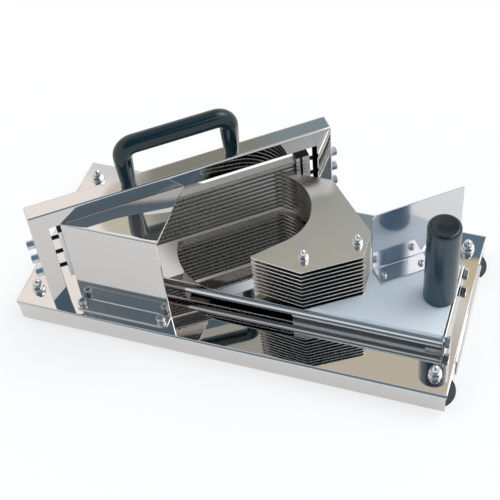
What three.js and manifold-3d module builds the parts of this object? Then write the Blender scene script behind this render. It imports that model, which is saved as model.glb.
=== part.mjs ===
// Push-slide tomato slicer: a carriage with a stack of notched pusher plates runs on two rods
// and pushes the fruit through a slanted frame of tensioned blades. Millimetres, +Z up.
//
// While the pieces are laid out the origin is the front left corner of the base tray's deck,
// x runs along the deck, y to the back and z up from the deck's top face. At the end the whole
// slicer is moved so that its origin is the middle of its footprint on the table.
import * as THREE from "three";
import { mergeVertices } from "three/addons/utils/BufferGeometryUtils.js";
import Module from "manifold-3d";

const wasm = await Module();
wasm.setup();

// Clearances
const seatGap = 0.05;
const holeClearance = 0.2;
const slideClearance = 0.15;
const foldGap = 0.4;
const cutPast = 1;

// Base tray
const tray = {
  length: 430,
  width: 199,
  sheet: 1.5,
  depth: 22.5,
  bend: 3,
  tabBend: 3,
  tabOut: 1.5,
  tabFrom: 42,
  tabTo: 160,
};

// Suction feet and the cap nuts that hold them
const feet = {
  end: 15.5,
  front: 22.5,
  back: 23,
  floor: 26,
  neck: 7.8,
  neckLength: 10,
  shoulder: 13.4,
  shoulderDepth: 21.4,
  rim: 20.5,
  rimHeight: 1.8,
  lip: 2.5,
  hollow: 2.8,
  hollowMiddle: 8,
  hollowMiddleHeight: 2.2,
  studRadius: 4,
  studDepth: 13,
};
const footNut = {
  washer: 6.5,
  washerHeight: 1.6,
  acrossFlats: 10.4,
  hexHeight: 5,
  dome: 4.7,
  domeHeight: 6.8,
};

// Blade frame, laid out along its own front face
const slantDegrees = 37.5;
const frame = {
  x: 39.9,
  y: 6.8,
  length: 295.5,
  depth: 18,
  windowHeight: 107.5,
  beam: 18.25,
  sheet: 1.5,
  bend: 2.5,
  leg: 16.4,
  rightLeg: 14.6,
  sole: 12,
};

// Blades and the comb holders that carry them
const blades = { count: 11, pitch: 5.5, first: 32.75, thickness: 0.5, width: 9.8, bevel: 2.2, front: 5.2 };
const holder = {
  gap: 7.1,
  width: 13.7,
  front: 4.6,
  depth: 10.8,
  bottom: 29.8,
  top: 93,
  slotDepth: 9.7,
  slotClearance: 0.1,
  pinInset: 3.6,
  pinRadius: 1,
  pinClearance: 0.2,
  grooveInset: 5.1,
  grooveWidth: 2.5,
  grooveDepth: 1.6,
};
const tension = {
  lowest: 44,
  spacing: 20,
  count: 3,
  radius: 2,
  bite: 3,
  washer: 4.8,
  washerHeight: 0.8,
  acrossFlats: 8,
  hexHeight: 6.2,
  dome: 3.6,
  domeHeight: 0.4,
};

// Carrying handle on top of the blade frame
const handle = {
  firstLeg: 97.9,
  span: 101,
  radius: 8.8,
  bend: 12,
  height: 45.5,
  footRadius: 7,
  screwRadius: 2.5,
  headRadius: 5,
  headHeight: 3,
};

// Front guard, a folded sheet that closes the corner between deck edge and blades
const guard = {
  left: 62.5,
  right: 156.5,
  front: 22,
  height: 109,
  sheet: 1.5,
  bend: 2.5,
  flangeFront: 8,
  screwLeft: 67.5,
  screwRight: 149,
  screwLine: 15.2,
};
const capScrew = {
  radius: 2.5,
  head: 4.5,
  headHeight: 5,
  chamfer: 0.6,
  socketFlats: 4,
  socketDepth: 2.6,
  length: 8,
};

// Rods, their brackets and bolts
const rods = {
  front: 51,
  back: 134,
  height: 14,
  radius: 5,
  from: 64,
  clear: 14.3,
  tapRadius: 3.2,
  tapDepth: 14,
};
const bracket = { sheet: 2, margin: 5, height: 23.5, flange: 18, corner: 4 };
const rodBolt = { radius: 3, acrossFlats: 10, headHeight: 4.6, chamfer: 0.6, length: 12 };

// Slide board
const board = {
  left: 270,
  right: 415,
  front: 50,
  back: 135,
  bottom: 4,
  top: 24,
  corner: 1.5,
  endGap: 0.7,
  sinkGap: 0.2,
};

// Pusher plates and the bed plate under them
const plates = { count: 10, pitch: 5.5, sheet: 1, tipRadius: 1.4, cornerRadius: 2 };
const plateCorners = {
  frontTip: { x: 232, y: 51 },
  front: { x: 283.5, y: 45 },
  rightFront: { x: 333.3, y: 77 },
  rightBack: { x: 333, y: 107.5 },
  back: { x: 281.5, y: 162.5 },
  backTip: { x: 217, y: 162.5 },
};
const notch = { x: 316.8, y: 136.1, radius: 47 };
const bed = { left: 138.5, front: 46.5, back: 169.5, backCorner: 275, round: 61, thickness: 1 };
const stackBolt = {
  radius: 3,
  spacer: 5.5,
  head: 6,
  headHeight: 3.2,
  washer: 5,
  washerHeight: 1,
  acrossFlats: 8,
  hexHeight: 4,
  dome: 3.7,
  domeHeight: 6,
};
const stackBoltPlaces = { front: { x: 281, y: 62.5 }, back: { x: 324, y: 92 } };

// Hand guard between the grip and the blades
const handGuard = {
  x: 336.7,
  y: 109.4,
  from: -3,
  to: 89,
  height: 78,
  sheet: 1.5,
  chamfer: 4,
  flangeFrom: -2,
  flangeTo: 50,
  flangeReach: 19,
  firstScrew: 4,
  secondScrew: 43,
  screwLine: 11,
};
const boardScrew = {
  radius: 2,
  head: 3.8,
  headHeight: 2.6,
  chamfer: 0.4,
  socketFlats: 3,
  socketDepth: 1.6,
  length: 12,
};

// Upright grip
const grip = {
  x: 402,
  y: 95,
  radius: 15.5,
  height: 99,
  rim: 3,
  edge: 1,
  dish: 1,
  dishRadius: 11,
  bore: 3.2,
  boreDepth: 26,
};
const gripScrew = { radius: 3, head: 6, headHeight: 3.2, length: 24 };

// Smoothness of round pieces: how far a flat may lie inside its true curve
const chordError = 0.15;
const fewestSides = 12;
const foldSteps = 3;
const pinSides = 8;
const spacerSides = 12;

// Finishes
const steel = new THREE.MeshStandardMaterial({ color: 0xc9c4bd, roughness: 0.12, metalness: 1 });
const satinSteel = new THREE.MeshStandardMaterial({ color: 0xa59f96, roughness: 0.35, metalness: 1 });
const bladeSteel = new THREE.MeshStandardMaterial({ color: 0xb9bab8, roughness: 0.25, metalness: 1 });
const fastenerSteel = new THREE.MeshStandardMaterial({ color: 0x9a9c9e, roughness: 0.22, metalness: 1 });
const whitePlastic = new THREE.MeshStandardMaterial({ color: 0xcdd9e4, roughness: 0.5, metalness: 0 });
const blackPlastic = new THREE.MeshStandardMaterial({ color: 0x142028, roughness: 0.2, metalness: 0 });
const slatePlastic = new THREE.MeshStandardMaterial({ color: 0x353f4a, roughness: 0.35, metalness: 0 });
const rubber = new THREE.MeshStandardMaterial({ color: 0x2a2d30, roughness: 0.75, metalness: 0 });

// Solids from three.js geometry, and back

function solidOf(geometry) {
  geometry.deleteAttribute("normal");
  geometry.deleteAttribute("uv");
  const merged = mergeVertices(geometry);
  const corners = merged.index.array;
  const triangles = [];
  for (let i = 0; i < corners.length; i += 3) {
    const [a, b, c] = [corners[i], corners[i + 1], corners[i + 2]];
    if (a !== b && b !== c && c !== a) {
      triangles.push(a, b, c);
    }
  }
  const mesh = new wasm.Mesh({
    numProp: 3,
    vertProperties: Float32Array.from(merged.attributes.position.array),
    triVerts: Uint32Array.from(triangles),
  });
  return new wasm.Manifold(mesh);
}

function meshOf(name, solid, material) {
  const { vertProperties, triVerts } = solid.getMesh();
  const geometry = new THREE.BufferGeometry();
  geometry.setAttribute("position", new THREE.BufferAttribute(Float32Array.from(vertProperties), 3));
  geometry.setIndex(new THREE.BufferAttribute(Uint32Array.from(triVerts), 1));
  geometry.computeVertexNormals();
  const mesh = new THREE.Mesh(geometry, material);
  mesh.name = name;
  return mesh;
}

function join(...solids) {
  return solids.reduce((whole, next) => whole.add(next));
}

function cut(whole, ...tools) {
  return tools.reduce((rest, tool) => rest.subtract(tool), whole);
}

function extruded(shape, height) {
  return new THREE.ExtrudeGeometry(shape, { depth: height, bevelEnabled: false, curveSegments: foldSteps });
}

// How many sides a full circle of this radius gets, in fours
function sidesOf(radius) {
  const sides = Math.PI / Math.acos(1 - chordError / radius);
  return Math.max(fewestSides, 4 * Math.round(sides / 4));
}

function arcPoints(x, y, radius, from, to) {
  const steps = Math.max(2, Math.ceil((sidesOf(radius) * Math.abs(to - from)) / (2 * Math.PI)));
  return Array.from({ length: steps + 1 }, (_, i) => {
    const angle = from + ((to - from) * i) / steps;
    return new THREE.Vector2(x + radius * Math.cos(angle), y + radius * Math.sin(angle));
  });
}

// A plan outline raised from one height to another
function slab(shape, bottom, top) {
  return solidOf(extruded(shape, top - bottom).translate(0, 0, bottom));
}

// A section drawn in y and z, run along x
function runX(shape, from, to) {
  const turn = new THREE.Matrix4().makeBasis(
    new THREE.Vector3(0, 1, 0),
    new THREE.Vector3(0, 0, 1),
    new THREE.Vector3(1, 0, 0),
  );
  return solidOf(extruded(shape, to - from).applyMatrix4(turn).translate(from, 0, 0));
}

// A section drawn in x and z, run along y
function runY(shape, from, to) {
  const turn = new THREE.Matrix4().makeBasis(
    new THREE.Vector3(1, 0, 0),
    new THREE.Vector3(0, 0, 1),
    new THREE.Vector3(0, -1, 0),
  );
  return solidOf(extruded(shape, to - from).applyMatrix4(turn).translate(0, to, 0));
}

function block(x0, x1, y0, y1, z0, z1) {
  const box = new THREE.BoxGeometry(x1 - x0, y1 - y0, z1 - z0);
  return solidOf(box.translate((x0 + x1) / 2, (y0 + y1) / 2, (z0 + z1) / 2));
}

// A turned piece: its profile is a list of radius and height, from the bottom of the axis to its top
function turnedGeometry(profile, sides = sidesOf(Math.max(...profile.map(([radius]) => radius)))) {
  const points = profile.map(([radius, height]) => new THREE.Vector2(radius, height));
  return new THREE.LatheGeometry(points, sides).rotateX(Math.PI / 2);
}

function turned(profile, x = 0, y = 0, sides = undefined) {
  return solidOf(turnedGeometry(profile, sides).translate(x, y, 0));
}

function post(radius, bottom, top, x = 0, y = 0, sides = undefined) {
  return turned([[0, bottom], [radius, bottom], [radius, top], [0, top]], x, y, sides);
}

// A round bar or drill along x
function barX(radius, from, to, y, z) {
  const geometry = turnedGeometry([[0, from], [radius, from], [radius, to], [0, to]]);
  return solidOf(geometry.rotateY(Math.PI / 2).translate(0, y, z));
}

// A closed outline whose corners are rounded to their own radius
function roundedOutline(corners) {
  const outline = [];
  corners.forEach((corner, i) => {
    const before = corners[(i + corners.length - 1) % corners.length];
    const after = corners[(i + 1) % corners.length];
    const here = new THREE.Vector2(corner.x, corner.y);
    const radius = corner.radius ?? 0;
    if (radius === 0) {
      outline.push(here);
      return;
    }
    const back = new THREE.Vector2(before.x, before.y).sub(here).normalize();
    const on = new THREE.Vector2(after.x, after.y).sub(here).normalize();
    const half = Math.acos(back.dot(on)) / 2;
    const centre = here.clone().addScaledVector(back.clone().add(on).normalize(), radius / Math.sin(half));
    const start = here.clone().addScaledVector(back, radius / Math.tan(half)).sub(centre);
    const sweep = (Math.PI - 2 * half) * (back.cross(on) > 0 ? -1 : 1);
    const from = Math.atan2(start.y, start.x);
    outline.push(...arcPoints(centre.x, centre.y, radius, from, from + sweep));
  });
  return new THREE.Shape(outline);
}

function rectangle(x0, x1, y0, y1, radius = 0) {
  return roundedOutline([
    { x: x0, y: y0, radius },
    { x: x1, y: y0, radius },
    { x: x1, y: y1, radius },
    { x: x0, y: y1, radius },
  ]);
}

function polygon(points) {
  return roundedOutline(points.map(([x, y]) => ({ x, y })));
}

// A folded sheet drawn as its outer line: the inner line is the same line moved in by the sheet
function channelSection(left, right, bottom, top, bend, sheet) {
  const shape = new THREE.Shape();
  const inner = bend - sheet;
  shape.moveTo(left, bottom);
  shape.lineTo(left, top - bend);
  shape.absarc(left + bend, top - bend, bend, Math.PI, Math.PI / 2, true);
  shape.lineTo(right - bend, top);
  shape.absarc(right - bend, top - bend, bend, Math.PI / 2, 0, true);
  shape.lineTo(right, bottom);
  shape.lineTo(right - sheet, bottom);
  shape.lineTo(right - sheet, top - bend);
  shape.absarc(right - bend, top - bend, inner, 0, Math.PI / 2, false);
  shape.lineTo(left + bend, top - sheet);
  shape.absarc(left + bend, top - bend, inner, Math.PI / 2, Math.PI, false);
  shape.lineTo(left + sheet, bottom);
  shape.closePath();
  return shape;
}

function hexPrism(acrossFlats, bottom, top, x = 0, y = 0) {
  const sides = 6;
  const radius = acrossFlats / 2 / Math.cos(Math.PI / sides);
  return post(radius, bottom, top, x, y, sides);
}

// The hex, chamfered at both ends, with its washer below and its dome above
function capNutParts(nut, bottom) {
  const hexBottom = bottom + nut.washerHeight;
  const hexTop = hexBottom + nut.hexHeight;
  const domeSteps = 3;
  const dome = [[0, bottom]];
  dome.push([nut.washer, bottom], [nut.washer, hexBottom], [nut.dome, hexBottom], [nut.dome, hexTop]);
  for (let i = 1; i <= domeSteps; i += 1) {
    const angle = (i / domeSteps) * (Math.PI / 2);
    dome.push([nut.dome * Math.cos(angle), hexTop + nut.domeHeight * Math.sin(angle)]);
  }
  dome[dome.length - 1][0] = 0;
  return join(turned(dome), hexPrism(nut.acrossFlats, hexBottom - seatGap, hexTop));
}

function placed(mesh, x, y, z) {
  mesh.position.set(x, y, z);
  return mesh;
}

const feetRight = tray.length - feet.end;
const feetBack = tray.width - feet.back;
const footPlaces = {
  front_left: [feet.end, feet.front],
  front_right: [feetRight, feet.front],
  back_left: [feet.end, feetBack],
  back_right: [feetRight, feetBack],
};
const guardScrewPlaces = {
  left: [guard.screwLeft, guard.screwLine],
  right: [guard.screwRight, guard.screwLine],
};

// The end fold: a short skirt between the feet, here at the right end
function endTab() {
  const outer = tray.length + tray.tabOut;
  const section = new THREE.Shape();
  section.moveTo(outer - tray.tabBend, 0);
  section.absarc(outer - tray.tabBend, -tray.tabBend, tray.tabBend, Math.PI / 2, 0, true);
  section.lineTo(outer, -tray.depth);
  section.lineTo(outer - tray.sheet, -tray.depth);
  section.lineTo(outer - tray.sheet, -tray.tabBend);
  section.absarc(outer - tray.tabBend, -tray.tabBend, tray.tabBend - tray.sheet, 0, Math.PI / 2, false);
  section.lineTo(outer - tray.tabBend - tray.sheet, -tray.sheet);
  section.lineTo(outer - tray.tabBend - tray.sheet, 0);
  section.closePath();
  return section;
}

function mirroredX(shape, centre) {
  const points = shape.getPoints(foldSteps).map((point) => new THREE.Vector2(2 * centre - point.x, point.y));
  return new THREE.Shape(points.reverse());
}

function baseTray() {
  const section = channelSection(0, tray.width, -tray.depth, 0, tray.bend, tray.sheet);
  let body = runX(section, 0, tray.length);
  body = join(body, runY(endTab(), tray.tabFrom, tray.tabTo));
  body = join(body, runY(mirroredX(endTab(), tray.length / 2), tray.tabFrom, tray.tabTo));
  for (const [x, y] of Object.values(footPlaces)) {
    body = cut(body, post(feet.studRadius + holeClearance, -tray.sheet - cutPast, cutPast, x, y));
  }
  for (const [x, y] of Object.values(guardScrewPlaces)) {
    body = cut(body, post(capScrew.radius + holeClearance, -tray.sheet - cutPast, cutPast, x, y));
  }
  return body;
}

function suctionFoot() {
  const top = -tray.sheet - seatGap;
  const bore = feet.studRadius + holeClearance;
  const boreEnd = -feet.studDepth - holeClearance;
  const rimTop = -feet.floor + feet.rimHeight;
  const inner = feet.rim - feet.lip;
  return turned([
    [0, -feet.floor + feet.hollow],
    [feet.hollowMiddle, -feet.floor + feet.hollowMiddleHeight],
    [inner, -feet.floor],
    [feet.rim, -feet.floor],
    [feet.rim, rimTop],
    [feet.shoulder, -feet.shoulderDepth - tray.sheet],
    [feet.neck, -feet.neckLength - tray.sheet],
    [feet.neck, top],
    [bore, top],
    [bore, boreEnd],
    [0, boreEnd],
  ]);
}

function footCapNut() {
  return join(post(feet.studRadius, -feet.studDepth, seatGap * 2), capNutParts(footNut, seatGap));
}

function buildBase(base) {
  base.add(meshOf("base_tray", baseTray(), steel));
  for (const [place, [x, y]] of Object.entries(footPlaces)) {
    base.add(placed(meshOf(`foot_${place}`, suctionFoot(), rubber), x, y, 0));
    base.add(placed(meshOf(`foot_nut_${place}`, footCapNut(), fastenerSteel), x, y, 0));
  }
}

const frameHeight = frame.windowHeight + frame.beam;
const frameMiddle = frame.depth / 2;
const pinMiddle = holder.front + holder.depth / 2;
const windowEnd = frame.length - frame.rightLeg;
const holderLeft = frame.leg + holder.gap;
const holderRight = windowEnd - holder.gap;
const handleLegs = [handle.firstLeg, handle.firstLeg + handle.span];

function bladeFrame() {
  const section = channelSection(0, frame.depth, seatGap, frameHeight, frame.bend, frame.sheet);
  const endSection = roundedOutline([
    { x: 0, y: seatGap },
    { x: frame.depth, y: seatGap },
    { x: frame.depth, y: frameHeight, radius: frame.bend },
    { x: 0, y: frameHeight, radius: frame.bend },
  ]);
  let body = join(
    runX(section, 0, frame.length),
    runX(endSection, 0, frame.sheet),
    runX(endSection, frame.length - frame.sheet, frame.length),
  );
  const soleTop = frame.sheet;
  const inside = frame.sheet / 2;
  body = join(
    body,
    block(inside, frame.sole, inside, frame.depth - inside, seatGap, soleTop),
    block(frame.length - frame.sole, frame.length - inside, inside, frame.depth - inside, seatGap, soleTop),
  );
  const window = block(frame.leg, windowEnd, -cutPast, frame.depth + cutPast, -cutPast, frame.windowHeight);
  body = cut(body, window);
  const screwHole = handle.screwRadius + holeClearance;
  for (const along of handleLegs) {
    body = cut(body, post(screwHole, frame.windowHeight, frameHeight + cutPast, along, frameMiddle));
  }
  for (let i = 0; i < tension.count; i += 1) {
    const z = tension.lowest + i * tension.spacing;
    const radius = tension.radius + holeClearance;
    body = cut(body, barX(radius, -cutPast, frame.sheet + cutPast, frameMiddle, z));
    const inner = frame.length - frame.sheet - cutPast;
    body = cut(body, barX(radius, inner, frame.length + cutPast, frameMiddle, z));
  }
  return body;
}

// Comb holder for the left end (side 1) or the right end (side -1), from its outer face at x = 0
function combHolder(side) {
  const span = (from, to) => (side > 0 ? [from, to] : [-to, -from]);
  const back = holder.front + holder.depth;
  let body = block(...span(0, holder.width), holder.front, back, holder.bottom, holder.top);
  const slot = blades.thickness / 2 + holder.slotClearance;
  const inner = holder.width - holder.slotDepth;
  for (let i = 0; i < blades.count; i += 1) {
    const z = blades.first + i * blades.pitch;
    body = cut(body, block(...span(inner, holder.width + cutPast), 0, frame.depth, z - slot, z + slot));
  }
  const grooveCentre = holder.width - holder.grooveInset;
  const groove = span(grooveCentre - holder.grooveWidth / 2, grooveCentre + holder.grooveWidth / 2);
  body = cut(body, block(...groove, 0, holder.front + holder.grooveDepth, 0, frame.windowHeight));
  const bite = span(-cutPast, tension.bite + holeClearance);
  for (let i = 0; i < tension.count; i += 1) {
    const z = tension.lowest + i * tension.spacing;
    body = cut(body, barX(tension.radius + holeClearance, ...bite, frameMiddle, z));
  }
  const pinAlong = side * (holder.width - holder.pinInset);
  const pin = post(holder.pinRadius, holder.bottom, holder.top, pinAlong, pinMiddle, pinSides);
  return join(body, pin);
}

function blade() {
  const half = blades.thickness / 2;
  const section = polygon([
    [blades.front, 0],
    [blades.front + blades.bevel, -half],
    [blades.front + blades.width, -half],
    [blades.front + blades.width, half],
    [blades.front + blades.bevel, half],
  ]);
  const from = holderLeft + holder.width - holder.slotDepth + holder.slotClearance;
  const to = holderRight - holder.width + holder.slotDepth - holder.slotClearance;
  const hole = holder.pinRadius + holder.pinClearance;
  const leftPin = holderLeft + holder.width - holder.pinInset;
  const rightPin = holderRight - holder.width + holder.pinInset;
  return cut(
    runX(section, from, to),
    post(hole, -cutPast, cutPast, leftPin, pinMiddle),
    post(hole, -cutPast, cutPast, rightPin, pinMiddle),
  );
}

// Tension screw with its head below z = 0 and its shank reaching up to the holder
function tensionScrew(reach) {
  const head = capNutParts(tension, seatGap);
  return join(head, post(tension.radius, -reach - tension.bite, seatGap * 2));
}

// The handle's path: up one leg, round the bend, along the bar and down the other leg
function handlePath() {
  const path = new THREE.CurvePath();
  const half = handle.span / 2;
  const turnStart = handle.height - handle.bend;
  const corner = (side) => new THREE.Vector3(side * half, 0, handle.height);
  const low = (side) => new THREE.Vector3(side * half, 0, turnStart);
  const inner = (side) => new THREE.Vector3(side * (half - handle.bend), 0, handle.height);
  path.add(new THREE.LineCurve3(new THREE.Vector3(-half, 0, 0), low(-1)));
  path.add(new THREE.QuadraticBezierCurve3(low(-1), corner(-1), inner(-1)));
  path.add(new THREE.LineCurve3(inner(-1), inner(1)));
  path.add(new THREE.QuadraticBezierCurve3(inner(1), corner(1), low(1)));
  path.add(new THREE.LineCurve3(low(1), new THREE.Vector3(half, 0, 0)));
  return path;
}

function topHandle() {
  const ring = new THREE.Shape(arcPoints(0, 0, handle.radius, 0, 2 * Math.PI).slice(1));
  const steps = 26;
  const sweep = new THREE.ExtrudeGeometry(ring, {
    steps,
    extrudePath: handlePath(),
    bevelEnabled: false,
  });
  const position = sweep.attributes.position;
  const half = handle.span / 2;
  const taperTop = handle.height - handle.bend;
  for (let i = 0; i < position.count; i += 1) {
    const down = Math.max(0, 1 - position.getZ(i) / taperTop);
    const side = Math.sign(position.getX(i)) * half;
    const scale = 1 - down * (1 - handle.footRadius / handle.radius);
    position.setX(i, side + (position.getX(i) - side) * (down > 0 ? scale : 1));
    position.setY(i, position.getY(i) * (down > 0 ? scale : 1));
  }
  let body = solidOf(sweep);
  const under = -frame.sheet - seatGap * 2;
  for (const x of [-half, half]) {
    body = join(
      body,
      post(handle.screwRadius, under - handle.headHeight, handle.headHeight, x, 0),
      post(handle.headRadius, under - handle.headHeight, under, x, 0),
    );
  }
  return body;
}

function buildBladeFrame(base) {
  const group = new THREE.Group();
  group.position.set(frame.x, frame.y, 0);
  group.rotation.z = THREE.MathUtils.degToRad(slantDegrees);
  base.add(group);
  group.add(meshOf("blade_frame", bladeFrame(), steel));
  group.add(placed(meshOf("blade_holder_left", combHolder(1), fastenerSteel), holderLeft, 0, 0));
  group.add(placed(meshOf("blade_holder_right", combHolder(-1), fastenerSteel), holderRight, 0, 0));
  for (let i = 0; i < blades.count; i += 1) {
    const number = String(i + 1).padStart(2, "0");
    group.add(placed(meshOf(`blade_${number}`, blade(), bladeSteel), 0, 0, blades.first + i * blades.pitch));
  }
  for (let i = 0; i < tension.count; i += 1) {
    const z = tension.lowest + i * tension.spacing;
    const left = meshOf(`tension_screw_left_${i + 1}`, tensionScrew(holderLeft), fastenerSteel);
    left.rotation.y = -Math.PI / 2;
    group.add(placed(left, 0, frameMiddle, z));
    const rightReach = frame.length - holderRight;
    const screw = meshOf(`tension_screw_right_${i + 1}`, tensionScrew(rightReach), fastenerSteel);
    screw.rotation.y = Math.PI / 2;
    group.add(placed(screw, frame.length, frameMiddle, z));
  }
  const middle = (handleLegs[0] + handleLegs[1]) / 2;
  const carrying = meshOf("top_handle", topHandle(), blackPlastic);
  group.add(placed(carrying, middle, frameMiddle, frameHeight + seatGap));
}

function frontGuard() {
  const slope = Math.tan(THREE.MathUtils.degToRad(slantDegrees));
  const faceBack = guard.front + guard.sheet;
  const back = frame.y + (guard.right - frame.x) * slope;
  const inner = guard.bend - guard.sheet;
  const bendCentre = guard.height - guard.bend;
  const section = new THREE.Shape();
  section.moveTo(guard.flangeFront, seatGap);
  section.lineTo(faceBack, seatGap);
  section.lineTo(faceBack, bendCentre);
  section.absarc(guard.front + guard.bend, bendCentre, inner, Math.PI, Math.PI / 2, true);
  section.lineTo(back, guard.height - guard.sheet);
  section.lineTo(back, guard.height);
  section.lineTo(guard.front + guard.bend, guard.height);
  section.absarc(guard.front + guard.bend, bendCentre, guard.bend, Math.PI / 2, Math.PI, false);
  section.lineTo(guard.front, seatGap + guard.sheet);
  section.lineTo(guard.flangeFront, seatGap + guard.sheet);
  section.closePath();
  const lift = foldGap / Math.cos(THREE.MathUtils.degToRad(slantDegrees));
  const lineAt = (x) => frame.y + (x - frame.x) * slope - lift;
  const past = guard.right + cutPast;
  const behindFrame = polygon([
    [guard.left - cutPast, lineAt(guard.left - cutPast)],
    [past, lineAt(past)],
    [past, back + cutPast],
    [guard.left - cutPast, back + cutPast],
  ]);
  let body = cut(
    runX(section, guard.left, guard.right),
    slab(behindFrame, guard.height - guard.bend - cutPast, guard.height + cutPast),
  );
  for (const [x, y] of Object.values(guardScrewPlaces)) {
    body = cut(body, post(capScrew.radius + holeClearance, -cutPast, guard.sheet + cutPast, x, y));
  }
  return body;
}

// Socket head screw whose head stands on z = 0
function socketScrew(screw) {
  const head = turned([
    [0, -screw.length],
    [screw.radius, -screw.length],
    [screw.radius, 0],
    [screw.head, 0],
    [screw.head, screw.headHeight - screw.chamfer],
    [screw.head - screw.chamfer, screw.headHeight],
    [0, screw.headHeight],
  ]);
  const socketBottom = screw.headHeight - screw.socketDepth;
  return cut(head, hexPrism(screw.socketFlats, socketBottom, screw.headHeight + cutPast));
}

function buildFrontGuard(base) {
  base.add(meshOf("front_guard", frontGuard(), steel));
  for (const [side, [x, y]] of Object.entries(guardScrewPlaces)) {
    const z = guard.sheet + seatGap * 2;
    base.add(placed(meshOf(`guard_screw_${side}`, socketScrew(capScrew), fastenerSteel), x, y, z));
  }
}

// Rod bracket with its upright's outer face at x = 0 and its foot running to positive x
function rodBracket() {
  const front = rods.front - bracket.margin;
  const back = rods.back + bracket.margin;
  const upright = roundedOutline([
    { x: front, y: seatGap },
    { x: back, y: seatGap },
    { x: back, y: bracket.height, radius: bracket.corner },
    { x: front, y: bracket.height, radius: bracket.corner },
  ]);
  const foot = block(0, bracket.flange, front, back, seatGap, bracket.sheet);
  let body = join(runX(upright, 0, bracket.sheet), foot);
  for (const y of [rods.front, rods.back]) {
    body = cut(body, barX(rodBolt.radius + holeClearance, -cutPast, bracket.sheet + cutPast, y, rods.height));
  }
  return body;
}

const rodEnd = tray.length - rods.clear;

function slideRod(y) {
  const from = rods.from + seatGap;
  const to = rodEnd - seatGap;
  const tap = rods.tapRadius;
  return cut(
    barX(rods.radius, from, to, y, rods.height),
    barX(tap, from - cutPast, from + rods.tapDepth, y, rods.height),
    barX(tap, to - rods.tapDepth, to + cutPast, y, rods.height),
  );
}

// Hex bolt standing on z = 0 with its shank below
function hexBolt() {
  const corner = rodBolt.acrossFlats / 2 / Math.cos(Math.PI / 6);
  const head = hexPrism(rodBolt.acrossFlats, seatGap, rodBolt.headHeight);
  const crown = turned([
    [0, 0],
    [corner, 0],
    [corner, rodBolt.headHeight - rodBolt.chamfer],
    [corner - rodBolt.chamfer, rodBolt.headHeight],
    [0, rodBolt.headHeight],
  ]);
  return join(head.intersect(crown), post(rodBolt.radius, -rodBolt.length, seatGap * 2));
}

function buildRods(base) {
  base.add(placed(meshOf("rod_bracket_left", rodBracket(), steel), rods.from - bracket.sheet, 0, 0));
  const right = meshOf("rod_bracket_right", rodBracket(), steel);
  right.rotation.z = Math.PI;
  base.add(placed(right, rodEnd + bracket.sheet, rods.front + rods.back, 0));
  for (const [side, y] of [["front", rods.front], ["back", rods.back]]) {
    base.add(meshOf(`rod_${side}`, slideRod(y), steel));
    const left = meshOf(`rod_bolt_left_${side}`, hexBolt(), fastenerSteel);
    left.rotation.y = -Math.PI / 2;
    base.add(placed(left, rods.from - bracket.sheet, y, rods.height));
    const bolt = meshOf(`rod_bolt_right_${side}`, hexBolt(), fastenerSteel);
    bolt.rotation.y = Math.PI / 2;
    base.add(placed(bolt, rodEnd + bracket.sheet, y, rods.height));
  }
}

const slant = THREE.MathUtils.degToRad(slantDegrees);
const slantPoint = (along, out) => ({
  x: handGuard.x + along * Math.cos(slant) - out * Math.sin(slant),
  y: handGuard.y + along * Math.sin(slant) + out * Math.cos(slant),
});
const boardScrewPlaces = {
  left: slantPoint(handGuard.firstScrew, -handGuard.screwLine),
  right: slantPoint(handGuard.secondScrew, -handGuard.screwLine),
};

function slideBoard() {
  const outline = rectangle(board.left, board.right, board.front, board.back, board.corner);
  let body = slab(outline, board.bottom, board.top);
  for (const y of [rods.front, rods.back]) {
    const radius = rods.radius + slideClearance;
    body = cut(body, barX(radius, board.left - cutPast, board.right + cutPast, y, rods.height));
  }
  for (const { x, y } of Object.values(stackBoltPlaces)) {
    const sinkTop = board.bottom + stackBolt.headHeight + board.sinkGap;
    body = cut(
      body,
      post(stackBolt.radius + holeClearance, board.bottom - cutPast, board.top + cutPast, x, y),
      post(stackBolt.head + holeClearance, board.bottom - cutPast, sinkTop, x, y),
    );
  }
  const gripSink = board.bottom + gripScrew.headHeight + board.sinkGap;
  body = cut(
    body,
    post(gripScrew.radius + holeClearance, board.bottom - cutPast, board.top + cutPast, grip.x, grip.y),
    post(gripScrew.head + holeClearance, board.bottom - cutPast, gripSink, grip.x, grip.y),
  );
  for (const { x, y } of Object.values(boardScrewPlaces)) {
    const end = board.top - boardScrew.length;
    body = cut(body, post(boardScrew.radius + holeClearance, end, board.top + cutPast, x, y));
  }
  return body;
}

function boltHoles(shape) {
  for (const { x, y } of Object.values(stackBoltPlaces)) {
    const circle = arcPoints(x, y, stackBolt.radius + holeClearance, 0, -2 * Math.PI);
    shape.holes.push(new THREE.Path(circle.slice(1)));
  }
  return shape;
}

function pusherPlate() {
  const { frontTip, front, rightFront, rightBack, back, backTip } = plateCorners;
  const shape = roundedOutline([
    { ...frontTip, radius: plates.tipRadius },
    { ...front, radius: plates.cornerRadius },
    { ...rightFront, radius: plates.cornerRadius },
    { ...rightBack, radius: plates.cornerRadius },
    { ...back, radius: plates.cornerRadius },
    { ...backTip, radius: plates.tipRadius / 2 },
    { x: notch.x, y: notch.y, radius: notch.radius },
  ]);
  return slab(boltHoles(shape), -plates.sheet, 0);
}

function bedPlate() {
  const { front, rightFront, rightBack } = plateCorners;
  const shape = roundedOutline([
    { x: bed.left, y: bed.front, radius: bed.round },
    { ...front, radius: plates.cornerRadius },
    { ...rightFront, radius: plates.cornerRadius },
    { ...rightBack, radius: plates.cornerRadius },
    { x: bed.backCorner, y: bed.back, radius: plates.cornerRadius },
    { x: bed.left, y: bed.back, radius: bed.round },
  ]);
  return slab(boltHoles(shape), board.top + seatGap, board.top + bed.thickness);
}

const bedTop = board.top + bed.thickness;

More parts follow.
